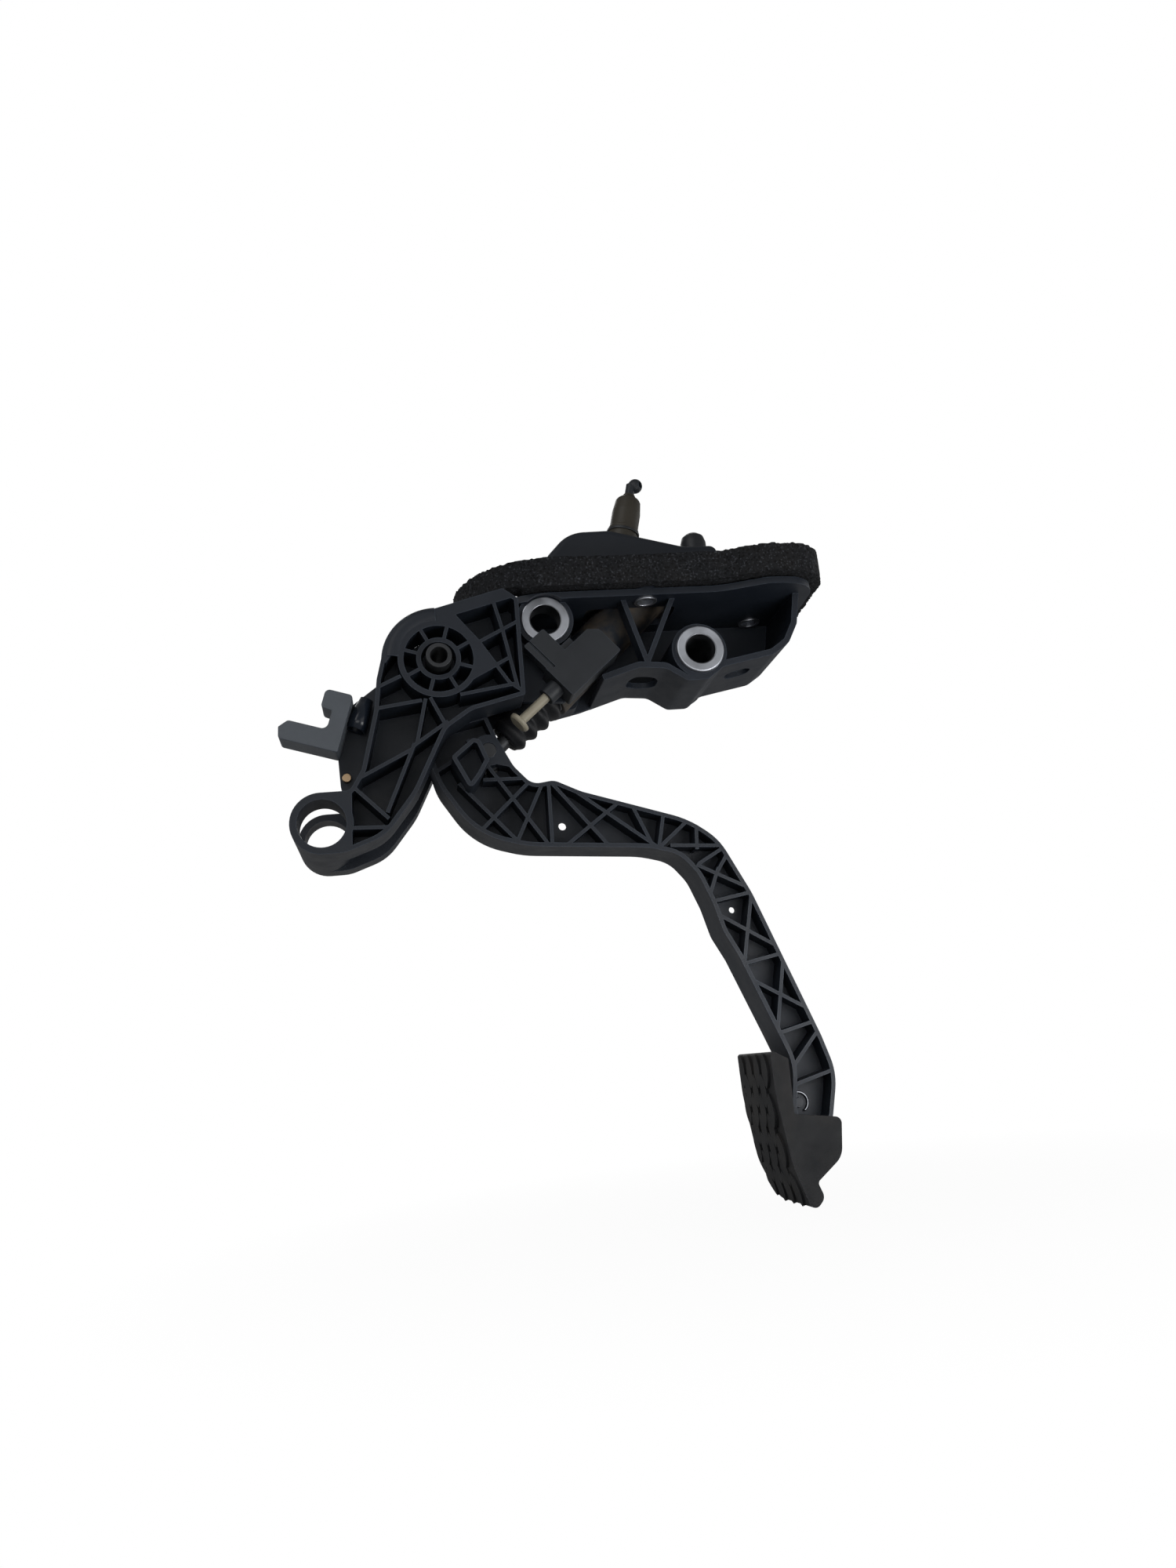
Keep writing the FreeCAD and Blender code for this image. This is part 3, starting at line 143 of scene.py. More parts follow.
class PedalStage(bpy.types.PropertyGroup):
    """Camera, floor and lamps."""

    lens: FloatProperty(name="Lens", description="Focal length in millimetres", default=27.0)
    camera_place: FloatVectorProperty(
        name="Camera place", description="Camera centre", subtype="TRANSLATION", unit="LENGTH",
        default=(-0.1709, -0.5736, -0.2411))
    camera_turn: FloatVectorProperty(
        name="Camera turn", description="Camera angles in degrees, X then Y then Z", default=(103.300, 6.135, -8.503))
    floor: colour("Floor", (0.25, 0.25, 0.25), "Floor paint")
    key: FloatProperty(name="Key lamp", description="Watts of the main lamp", default=3.1)
    fill: FloatProperty(name="Fill lamp", description="Watts of the fill lamp", default=1.6)
    front: FloatProperty(name="Front lamp", description="Watts of the lamp beside the camera", default=2.2)
    rear: FloatProperty(name="Back lamp", description="Watts of the lamp behind the pedal", default=5.0)
    side: FloatProperty(name="Side lamps", description="Watts of the lamp on each side", default=2.2)
    low: FloatProperty(name="Low lamp", description="Watts of the lamp at the foot of the arm", default=1.0)
    sky: FloatProperty(name="Room light", description="Strength of the even room light", default=0.22)


# Shader helpers


def new_group(name, inputs, outputs):
    """Empty node group with float inputs (name, default) and outputs (name, socket type)."""
    tree = bpy.data.node_groups.new(name, "ShaderNodeTree")
    for label, default in inputs:
        socket = tree.interface.new_socket(label, in_out="INPUT", socket_type="NodeSocketFloat")
        socket.default_value = default
    for label, kind in outputs:
        tree.interface.new_socket(label, in_out="OUTPUT", socket_type=kind)
    return tree, tree.nodes.new("NodeGroupInput"), tree.nodes.new("NodeGroupOutput")


def node(tree, kind, links=(), **values):
    """Node with its settings and (socket, source) links."""
    item = tree.nodes.new(kind)
    for key, value in values.items():
        if key.startswith("in_"):
            socket = item.inputs[int(key[3:])] if key[3:].isdigit() else item.inputs[key[3:].replace("_", " ")]
            socket.default_value = value
        else:
            setattr(item, key, value)
    for socket, source in links:
        tree.links.new(source, item.inputs[socket])
    return item


def moulded_grain():
    """Fine grain and slow mottling of moulded plastic and rubber."""
    tree, given, out = new_group(
        "Moulded grain", (("Grain", 2600.0), ("Mottle", 60.0)),
        (("Height", "NodeSocketFloat"), ("Tone", "NodeSocketFloat")))
    place = node(tree, "ShaderNodeTexCoord")
    fine = node(tree, "ShaderNodeTexNoise", (("Vector", place.outputs["Object"]), ("Scale", given.outputs["Grain"])),
                in_Detail=3.0, in_Roughness=0.6)
    slow = node(tree, "ShaderNodeTexNoise", (("Vector", place.outputs["Object"]), ("Scale", given.outputs["Mottle"])),
                in_Detail=5.0, in_Roughness=0.65)
    tree.links.new(fine.outputs["Fac"], out.inputs["Height"])
    tree.links.new(slow.outputs["Fac"], out.inputs["Tone"])
    return tree


def edge_rub():
    """Mask of rubbed edges: where the rounded normal leaves the face, broken up by noise."""
    tree, given, out = new_group(
        "Edge rub", (("Width", 0.7 * MM), ("Gain", 6.5)), (("Mask", "NodeSocketFloat"),))
    place = node(tree, "ShaderNodeTexCoord")
    face = node(tree, "ShaderNodeNewGeometry")
    soft = node(tree, "ShaderNodeBevel", (("Radius", given.outputs["Width"]),), samples=4)
    facing = node(tree, "ShaderNodeVectorMath",
                  ((0, soft.outputs["Normal"]), (1, face.outputs["Normal"])), operation="DOT_PRODUCT")
    off = node(tree, "ShaderNodeMath", ((1, facing.outputs["Value"]),), operation="SUBTRACT", in_0=1.0)
    patch = node(tree, "ShaderNodeTexNoise", (("Vector", place.outputs["Object"]),), in_Scale=240.0, in_Detail=4.0)
    broken = node(tree, "ShaderNodeMath", ((0, off.outputs[0]), (1, patch.outputs["Fac"])), operation="MULTIPLY")
    gained = node(tree, "ShaderNodeMath", ((0, broken.outputs[0]), (1, given.outputs["Gain"])),
                  operation="MULTIPLY", use_clamp=True)
    tree.links.new(gained.outputs[0], out.inputs["Mask"])
    return tree


def settled_dust():
    """Mask of dust: on upward faces and in patches."""
    tree, given, out = new_group(
        "Settled dust", (("Amount", 0.4), ("Patch", 45.0)), (("Mask", "NodeSocketFloat"),))
    place = node(tree, "ShaderNodeTexCoord")
    face = node(tree, "ShaderNodeNewGeometry")
    split = node(tree, "ShaderNodeSeparateXYZ", (("Vector", face.outputs["Normal"]),))
    upward = node(tree, "ShaderNodeMapRange", (("Value", split.outputs["Z"]),),
                  in_1=-0.3, in_2=1.0, in_3=0.25, in_4=1.0)
    patch = node(tree, "ShaderNodeTexNoise",
                 (("Vector", place.outputs["Object"]), ("Scale", given.outputs["Patch"])), in_Detail=6.0)
    ramp = node(tree, "ShaderNodeMapRange", (("Value", patch.outputs["Fac"]),), in_1=0.42, in_2=0.72)
    both = node(tree, "ShaderNodeMath", ((0, upward.outputs[0]), (1, ramp.outputs[0])), operation="MULTIPLY")
    mask = node(tree, "ShaderNodeMath", ((0, both.outputs[0]), (1, given.outputs["Amount"])),
                operation="MULTIPLY", use_clamp=True)
    tree.links.new(mask.outputs[0], out.inputs["Mask"])
    return tree


def fine_scratches():
    """Turning and handling marks of plated steel."""
    tree, given, out = new_group(
        "Fine scratches", (("Scale", 900.0),), (("Height", "NodeSocketFloat"), ("Tone", "NodeSocketFloat")))
    place = node(tree, "ShaderNodeTexCoord")
    stretch = node(tree, "ShaderNodeMapping", (("Vector", place.outputs["Object"]),))
    stretch.inputs["Scale"].default_value = (1.0, 0.05, 1.0)
    lines = node(tree, "ShaderNodeTexNoise",
                 (("Vector", stretch.outputs[0]), ("Scale", given.outputs["Scale"])), in_Detail=2.0)
    stain = node(tree, "ShaderNodeTexNoise", (("Vector", place.outputs["Object"]),), in_Scale=110.0, in_Detail=5.0)
    tree.links.new(lines.outputs["Fac"], out.inputs["Height"])
    tree.links.new(stain.outputs["Fac"], out.inputs["Tone"])
    return tree


GROUPS = {}


def group_node(tree, maker, **values):
    """Shared group placed in a material, built the first time it is asked for."""
    if maker.__name__ not in GROUPS:
        GROUPS[maker.__name__] = maker()
    item = tree.nodes.new("ShaderNodeGroup")
    item.node_tree = GROUPS[maker.__name__]
    for key, value in values.items():
        item.inputs[key].default_value = value
    return item


def blank_material(name):
    """Material with only its Principled shader."""
    material = bpy.data.materials.new(name)
    material.use_nodes = True
    tree = material.node_tree
    return material, tree, tree.nodes["Principled BSDF"]


def mixed(tree, mask, first, second):
    """Colour that goes from first to second by a mask; each is a colour or an output."""
    item = tree.nodes.new("ShaderNodeMix")
    item.data_type = "RGBA"
    tree.links.new(mask, item.inputs["Factor"])
    for socket, value in (("A", first), ("B", second)):
        target = next(s for s in item.inputs if s.name == socket and s.type == "RGBA")
        if isinstance(value, bpy.types.NodeSocket):
            tree.links.new(value, target)
        else:
            target.default_value = (*value, 1.0)
    return next(s for s in item.outputs if s.type == "RGBA")


def spread(tree, source, low, high):
    """Noise value mapped to a range."""
    item = node(tree, "ShaderNodeMapRange", (("Value", source),), in_1=0.3, in_2=0.7, in_3=low, in_4=high)
    return item.outputs[0]


def shade(tone, factor):
    """Colour made lighter or darker."""
    return tuple(min(1.0, channel * factor) for channel in tone)


def ledge_dust():
    """Mask of dust that has gathered along the foot of a standing form, fading upward."""
    tree, given, out = new_group(
        "Ledge dust", (("Low", 0.0), ("High", 10.0 * MM)), (("Mask", "NodeSocketFloat"),))
    place = node(tree, "ShaderNodeTexCoord")
    split = node(tree, "ShaderNodeSeparateXYZ", (("Vector", place.outputs["Object"]),))
    fade = node(tree, "ShaderNodeMapRange", (("Value", split.outputs["Z"]), (1, given.outputs["Low"]),
                                             (2, given.outputs["High"])), in_3=1.0, in_4=0.0)
    patch = node(tree, "ShaderNodeTexNoise", (("Vector", place.outputs["Object"]),), in_Scale=90.0, in_Detail=6.0)
    broken = node(tree, "ShaderNodeMapRange", (("Value", patch.outputs["Fac"]),), in_1=0.36, in_2=0.66)
    mask = node(tree, "ShaderNodeMath", ((0, fade.outputs[0]), (1, broken.outputs[0])), operation="MULTIPLY",
                use_clamp=True)
    tree.links.new(mask.outputs[0], out.inputs["Mask"])
    return tree


def moulded(name, base, rub, rough, grain, grain_depth, dust, foot=None):
    """Moulded plastic or rubber: grain, mottling, rubbed edges and dust; foot is a dusty band (low, high)."""
    finish = bpy.context.scene.pedal_finish
    material, tree, shader = blank_material(name)
    skin = group_node(tree, moulded_grain, Grain=grain)
    edge = group_node(tree, edge_rub)
    dusty = group_node(tree, settled_dust, Amount=dust)
    tone = mixed(tree, skin.outputs["Tone"], shade(base, 0.78), shade(base, 1.22))
    worn = mixed(tree, edge.outputs["Mask"], tone, rub)
    if foot:
        band = group_node(tree, ledge_dust, Low=foot[0], High=foot[1])
        worn = mixed(tree, band.outputs["Mask"], worn, tuple(finish.dust))
    shader.inputs["Specular IOR Level"].default_value = PLASTIC_SPECULAR
    tree.links.new(mixed(tree, dusty.outputs["Mask"], worn, tuple(finish.dust)), shader.inputs["Base Color"])
    tree.links.new(spread(tree, skin.outputs["Tone"], *rough), shader.inputs["Roughness"])
    bump = node(tree, "ShaderNodeBump", (("Height", skin.outputs["Height"]),), in_Strength=0.35,
                in_Distance=grain_depth)
    tree.links.new(bump.outputs["Normal"], shader.inputs["Normal"])
    return material


def bore_painted_shade():
    """Mask of painted shade inside a bore that runs along Y: within a radius of its middle."""
    tree, given, out = new_group(
        "Bore painted shade", (("Middle X", 0.0), ("Middle Z", 0.0), ("Radius", 8.0 * MM)), (("Mask", "NodeSocketFloat"),))
    place = node(tree, "ShaderNodeTexCoord")
    middle = node(tree, "ShaderNodeCombineXYZ", (("X", given.outputs["Middle X"]), ("Z", given.outputs["Middle Z"])))
    gap = node(tree, "ShaderNodeVectorMath", ((0, place.outputs["Object"]), (1, middle.outputs[0])),
               operation="SUBTRACT")
    flat = node(tree, "ShaderNodeVectorMath", ((0, gap.outputs[0]),), operation="MULTIPLY", in_1=(1.0, 0.0, 1.0))
    reach = node(tree, "ShaderNodeVectorMath", ((0, flat.outputs[0]),), operation="LENGTH")
    inside = node(tree, "ShaderNodeMath", ((0, reach.outputs["Value"]), (1, given.outputs["Radius"])),
                  operation="LESS_THAN")
    tree.links.new(inside.outputs[0], out.inputs["Mask"])
    return tree


def metal(name, base, rough, metallic, dust, bore=None):
    """Plated or blackened metal with fine marks and stains; a bore (x, z, radius) gets painted shade inside."""
    finish = bpy.context.scene.pedal_finish
    material, tree, shader = blank_material(name)
    marks = group_node(tree, fine_scratches)
    dusty = group_node(tree, settled_dust, Amount=dust)
    tone = mixed(tree, marks.outputs["Tone"], shade(base, 0.72), shade(base, 1.15))
    if bore:
        hollow = group_node(tree, bore_painted_shade, **{"Middle X": bore[0], "Middle Z": bore[1], "Radius": bore[2]})
        # Painted shade: the inside of the bore is darkened in the colour.
        tone = mixed(tree, hollow.outputs["Mask"], tone, shade(base, BORE_PAINTED_SHADE))
    tree.links.new(mixed(tree, dusty.outputs["Mask"], tone, tuple(finish.dust)), shader.inputs["Base Color"])
    tree.links.new(spread(tree, marks.outputs["Tone"], *rough), shader.inputs["Roughness"])
    shader.inputs["Metallic"].default_value = metallic
    bump = node(tree, "ShaderNodeBump", (("Height", marks.outputs["Height"]),), in_Strength=0.2,
                in_Distance=0.05 * MM)
    tree.links.new(bump.outputs["Normal"], shader.inputs["Normal"])
    return material


# Mesh helpers


def dress(name, material, edge, angle=32.0):
    """CAD node with its finish, rounded edges and even shading."""
    piece = NODES[name]
    piece.data.materials.clear()
    piece.data.materials.append(material)
    piece.data.shade_smooth()
    weld = piece.modifiers.new("Weld", "WELD")
    weld.merge_threshold = 0.01 * MM
    flat = piece.modifiers.new("Flat faces", "DECIMATE")
    flat.decimate_type = "DISSOLVE"
    flat.angle_limit = math.radians(0.5)
    bevel = piece.modifiers.new("Edge round", "BEVEL")
    bevel.limit_method = "ANGLE"
    bevel.angle_limit = math.radians(angle)
    bevel.width = edge
    bevel.segments = 2
    bevel.use_clamp_overlap = True
    even = piece.modifiers.new("Even shading", "WEIGHTED_NORMAL")
    even.keep_sharp = False
    even.weight = 80
    return piece


def add_piece(name, mesh, material, body, slot_name, *replaced):
    """New mesh piece that rides on a body and stands for CAD nodes."""
    piece = bpy.data.objects.new(name, mesh)
    bpy.context.scene.collection.objects.link(piece)
    mesh.materials.clear()
    mesh.materials.append(material)
    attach(piece, body)
    if replaced:
        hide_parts(*replaced)
    return piece


def wire_mesh(name, path, radius, sides=10):
    """Round wire along a path that lies in a plane across Y, with closed ends."""
    build = bmesh.new()
    across = Vector((0, 1, 0))
    loops = []
    for index, spot in enumerate(path):
        ahead = path[min(index + 1, len(path) - 1)] - path[max(index - 1, 0)]
        out = ahead.cross(across).normalized()
        turns = [2 * math.pi * step / sides for step in range(sides)]
        loops.append([build.verts.new(spot + radius * (out * math.cos(a) + across * math.sin(a))) for a in turns])
    for here, there in zip(loops, loops[1:]):
        for step in range(sides):
            after = (step + 1) % sides
            build.faces.new((here[step], here[after], there[after], there[step]))
    build.faces.new(loops[0])
    build.faces.new(loops[-1])
    bmesh.ops.recalc_face_normals(build, faces=build.faces)
    mesh = bpy.data.meshes.new(name)
    build.to_mesh(mesh)
    build.free()
    mesh.shade_smooth()
    return mesh


def turned_mesh(name, middle, axis, rings, steps):
    """Closed skin turned about an axis that lies across Y; rings are (radius, height) and end where they start."""
    depth = Vector((0, 1, 0))
    across = axis.cross(depth).normalized()
    build = bmesh.new()
    loops = []
    for radius, height in rings:
        turns = [2 * math.pi * step / steps for step in range(steps)]
        sides = [across * math.cos(turn) + depth * math.sin(turn) for turn in turns]
        loops.append([build.verts.new(middle + axis * height + side * radius) for side in sides])
    for here, there in zip(loops, loops[1:] + loops[:1]):
        for step in range(steps):
            after = (step + 1) % steps
            build.faces.new((here[step], here[after], there[after], there[step]))
    bmesh.ops.recalc_face_normals(build, faces=build.faces)
    mesh = bpy.data.meshes.new(name)
    build.to_mesh(mesh)
    build.free()
    mesh.shade_smooth()
    return mesh


def joint(name):
    """Joint of the record."""
    return next(item for item in frame["joints"] if item["name"] == name)


class PEDAL_OT_mouldings(bpy.types.Operator):
    """Black mouldings: bracket, arm and master cylinder"""

    bl_idname = "pedal.mouldings"
    bl_label = "Mouldings"

    def execute(self, context):
        finish = context.scene.pedal_finish
        edge = context.scene.pedal_shape.edge_round
        nylon = tuple(finish.nylon)
        rub = tuple(finish.nylon_rub)
        bracket = moulded("Bracket nylon", nylon, rub, (0.44, 0.60), 2400.0, 0.05 * MM, 0.03)
        arm = moulded("Arm nylon", shade(nylon, 1.05), rub, (0.48, 0.62), 2400.0, 0.05 * MM, 0.16)
        foam_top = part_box("foam_seal")[1][2]
        cylinder = moulded("Cylinder nylon", shade(nylon, 0.85), shade(rub, 0.6), (0.50, 0.70), 2000.0, 0.06 * MM,
                           0.10, (foam_top - 1 * MM, foam_top + 9 * MM))
        dress("pedal_bracket", bracket, edge)
        dress("pedal_arm", arm, edge)
        dress("cylinder_body", cylinder, 4 * edge)
        return {"FINISHED"}


class PEDAL_OT_fittings(bpy.types.Operator):
    """Switch, sensor, line fittings and bearing bushes"""

    bl_idname = "pedal.fittings"
    bl_label = "Fittings"

    def execute(self, context):
        finish = context.scene.pedal_finish
        edge = context.scene.pedal_shape.edge_round
        rub = tuple(finish.nylon_rub)
        switch = moulded("Switch plastic", tuple(finish.switch), rub, (0.42, 0.58), 3000.0, 0.03 * MM, 0.03)
        slate = moulded("Slate plastic", tuple(finish.slate), shade(rub, 1.3), (0.40, 0.55), 3000.0, 0.03 * MM, 0.06)
        cream_tone = tuple(finish.cream)
        cream = moulded("Cream plastic", cream_tone, shade(cream_tone, 1.2), (0.38, 0.50), 1800.0, 0.02 * MM, 0.25)
        olive_tone = tuple(finish.olive)
        olive = moulded("Olive plastic", olive_tone, shade(olive_tone, 1.6), (0.40, 0.60), 2200.0, 0.03 * MM, 0.5)
        natural_tone = tuple(finish.natural)
        natural = moulded("Natural plastic", natural_tone, natural_tone, (0.35, 0.5), 2400.0, 0.02 * MM, 0.1)
        for name in ("switch_body", "switch_guide", "line_elbow", "feed_nipple"):
            dress(name, switch, edge)
        dress("sensor_housing", slate, 1.5 * edge)
        dress("switch_plunger", cream, edge)
        dress("line_connector", olive, edge)
        for name in ("hub_bush_near", "hub_bush_far", "piston"):
            dress(name, natural, edge)
        return {"FINISHED"}


class PEDAL_OT_metals(bpy.types.Operator):
    """Steel sleeves, bushes, axle, rod and clips, and the brass insert"""

    bl_idname = "pedal.metals"
    bl_label = "Metals"

    def execute(self, context):
        finish = context.scene.pedal_finish
        edge = context.scene.pedal_shape.edge_round
        zinc = metal("Zinc plate", tuple(finish.zinc), (0.28, 0.48), 1.0, 0.10)
        black = metal("Black steel", tuple(finish.phosphate), (0.35, 0.55), 0.6, 0.15)
        brass = metal("Brass", tuple(finish.brass), (0.25, 0.45), 1.0, 0.10)
        for name in ("stud_sleeves", "stop_ring"):
            dress(name, zinc, 1.1 * edge)
        for name in ("cross_bush_left", "cross_bush_right"):
            low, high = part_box(name)
            # Middle and radius of the painted shade inside the bush's bore.
            bore = ((low[0] + high[0]) / 2, (low[2] + high[2]) / 2, BUSH_BORE)
            dress(name, metal(f"Steel of {name}", tuple(finish.zinc), (0.30, 0.55), 1.0, 0.10, bore), 2.2 * edge)
        for name in ("pivot_axle", "axle_clip", "connector_clip", "rod_pin", "push_rod"):
            dress(name, black, 1.1 * edge)
        dress("sensor_insert", brass, edge)
        return {"FINISHED"}


class PEDAL_OT_rubber(bpy.types.Operator):
    """Rubber pad, piston seals and the folded boot"""

    bl_idname = "pedal.rubber"
    bl_label = "Rubber"

    def execute(self, context):
        finish = context.scene.pedal_finish
        shape = context.scene.pedal_shape
        base = tuple(finish.rubber)
        rubber = moulded("Pad rubber", base, shade(base, 2.2), (0.66, 0.82), 1500.0, 0.08 * MM, 0.30)
        boot_rubber = moulded("Boot rubber", shade(base, 1.15), shade(base, 2.0), (0.5, 0.68), 1800.0, 0.05 * MM,
                              0.15)
        dress("pedal_pad", rubber, 3 * shape.edge_round)
        for name in ("primary_seal", "secondary_seal"):
            dress(name, rubber, shape.edge_round)
        self.boot(shape, boot_rubber)
        return {"FINISHED"}

    def boot(self, shape, material):
        """Stepped bellows turned about the cylinder axis."""
        axis = Vector(joint("rod_slide")["axis"]).normalized()
        low, high = (Vector(corner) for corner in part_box("rod_boot"))
        middle = (low + high) / 2
        heights = [(vertex.co - middle).dot(axis) for vertex in NODES["rod_boot"].data.vertices]
        bottom, top = min(heights), max(heights)
        span = top - bottom
        outline = []
        steps = BOOT_FOLDS * BOOT_FOLD_POINTS
        for step in range(steps + 1):
            share = step / steps
            wave = 0.5 - 0.5 * math.cos(2 * math.pi * BOOT_FOLDS * share)
            ridge = BOOT_SMALL + (BOOT_LARGE - BOOT_SMALL) * min(1.0, (int(share * BOOT_FOLDS) + 1) / BOOT_FOLDS)
            outline.append((ridge - BOOT_FOLD_DEPTH * (1 - wave ** 0.8), bottom + span * share))
        inside = [(radius - BOOT_WALL, height) for radius, height in reversed(outline)]
        inside.append((BOOT_ROD_HOLE, bottom))
        mesh = turned_mesh("rod_boot_folds", middle, axis, outline + inside, shape.boot_steps)
        boot = add_piece("rod_boot_folds", mesh, material, "bracket", "black_rubber", "rod_boot")
        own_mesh(boot)


class PEDAL_OT_pad_clip(bpy.types.Operator):
    """Pin of the pad in the lowest cell of the arm, with its open wire ring"""

    bl_idname = "pedal.pad_clip"
    bl_label = "Pad clip"

    def execute(self, context):
        finish = context.scene.pedal_finish
        pad_low, pad_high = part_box("pedal_pad")
        middle = Vector((pad_low[0] + 20.5 * MM, 0.8 * MM, pad_high[2] - 25.5 * MM))
        turns = [math.radians(105 - 165 * step / PAD_RING_STEPS) for step in range(PAD_RING_STEPS + 1)]
        path = [middle + PAD_RING * Vector((math.cos(turn), 0, math.sin(turn))) for turn in turns]
        steel = metal("Ring wire", shade(tuple(finish.zinc), 0.45), (0.22, 0.40), 1.0, 0.05)
        add_piece("pad_ring", wire_mesh("pad_ring", path, PAD_WIRE), steel, "pedal", "zinc_steel")
        build = bmesh.new()
        turned = Matrix.Translation(middle) @ Matrix.Rotation(math.pi / 2, 4, "X")
        bmesh.ops.create_cone(build, cap_ends=True, segments=28, radius1=PAD_PIN_FOOT, radius2=PAD_PIN_HEAD,
                              depth=PAD_PIN_LENGTH, matrix=turned)
        pin = bpy.data.meshes.new("pad_pin")
        build.to_mesh(pin)
        build.free()
        nylon = tuple(finish.nylon)
        skin = moulded("Pin nylon", nylon, shade(nylon, 2.5), (0.40, 0.55), 2400.0, 0.04 * MM, 0.05)
        add_piece("pad_pin", pin, skin, "pedal", "black_nylon")
        return {"FINISHED"}


class PEDAL_OT_wing_hood(bpy.types.Operator):
    """Tapered hollow hood on the bracket's wing, beside the position sensor"""

    bl_idname = "pedal.wing_hood"
    bl_label = "Wing hood"

    def execute(self, context):
        nylon = tuple(context.scene.pedal_finish.nylon)
        skin = moulded("Hood nylon", nylon, shade(nylon, 2.5), (0.15, 0.24), 2400.0, 0.02 * MM, 0.02)
        reach = (HOOD_TIP - HOOD_MOUTH).length
        outside = [(5.3 * MM, 0.0), (5.0 * MM, 0.3 * reach), (3.2 * MM, reach)]
        inside = [(2.0 * MM, reach), (3.8 * MM, 0.3 * reach), (4.3 * MM, 0.0)]
        mesh = turned_mesh("wing_hood", HOOD_MOUTH, (HOOD_TIP - HOOD_MOUTH).normalized(), outside + inside, 40)
        add_piece("wing_hood", mesh, skin, "bracket", "black_nylon")
        return {"FINISHED"}


class PEDAL_OT_foam(bpy.types.Operator):
    """Open-pored foam seal on the firewall flange"""

    bl_idname = "pedal.foam"
    bl_label = "Foam"

    def execute(self, context):
        finish = context.scene.pedal_finish
        shape = context.scene.pedal_shape
        material = self.finish(finish)
        mesh = NODES["foam_seal"].data.copy()
        mesh.name = "foam_seal_pores"
        piece = add_piece("foam_seal_pores", mesh, material, "bracket", "black_foam", "foam_seal")
        remesh = piece.modifiers.new("Cells", "REMESH")
        remesh.mode = "VOXEL"
        remesh.voxel_size = shape.foam_cell
        ready = bpy.data.meshes.new_from_object(piece.evaluated_get(context.evaluated_depsgraph_get()))
        piece.modifiers.clear()
        self.pores(ready, shape)
        ready.name = "foam_seal_pores"
        ready.materials.clear()
        ready.materials.append(material)
        piece.data = ready
        ready.shade_smooth()
        return {"FINISHED"}

    def pores(self, mesh, shape):
        """Moves the skin in at the pores and along slow waves."""
        normals = [vertex.normal.copy() for vertex in mesh.vertices]
        for vertex, normal in zip(mesh.vertices, normals):
            spot = vertex.co / shape.pore_pitch
            distances, _ = noise.voronoi(spot)
            pit = max(0.0, 1 - distances[0] / 0.55)
            wave = 0.5 + 0.5 * noise.noise(vertex.co * 28.0)
            inward = shape.pore_depth * pit ** 0.7 + shape.foam_wave * wave + 0.2 * MM
            vertex.co -= normal * inward

    def finish(self, finish):
        """Foam: painted shade in the pores and painted glints on a sooty skin, with brown dust."""
        material, tree, shader = blank_material("Foam")
        place = node(tree, "ShaderNodeTexCoord")
        cells = node(tree, "ShaderNodeTexVoronoi", (("Vector", place.outputs["Object"]),), in_Scale=560.0)
        speck = node(tree, "ShaderNodeTexNoise", (("Vector", place.outputs["Object"]),), in_Scale=900.0,
                     in_Detail=4.0)
        dusty = group_node(tree, settled_dust, Amount=0.12, Patch=60.0)
        base = tuple(finish.foam)
        # Painted glints: light specks painted into the foam's colour.
        painted_glint = node(tree, "ShaderNodeMapRange", (("Value", speck.outputs["Fac"]),), in_1=0.55, in_2=0.72)
        skin = mixed(tree, painted_glint.outputs[0], shade(base, 0.8), shade(base, 4.5))
        # Painted shade: the pores are darkened in the colour; the same mask also drives the bump.
        holes = node(tree, "ShaderNodeMapRange", (("Value", cells.outputs["Distance"]),), in_1=0.15, in_2=0.5)
        painted_pore_shade = mixed(tree, holes.outputs[0], shade(base, 0.3), skin)
        tree.links.new(mixed(tree, dusty.outputs["Mask"], painted_pore_shade, tuple(finish.dust)), shader.inputs["Base Color"])
        shader.inputs["Roughness"].default_value = 0.95
        shader.inputs["Specular IOR Level"].default_value = 0.2
        bump = node(tree, "ShaderNodeBump", (("Height", holes.outputs[0]),), in_Strength=0.7, in_Distance=0.5 * MM)
        tree.links.new(bump.outputs["Normal"], shader.inputs["Normal"])
        return material


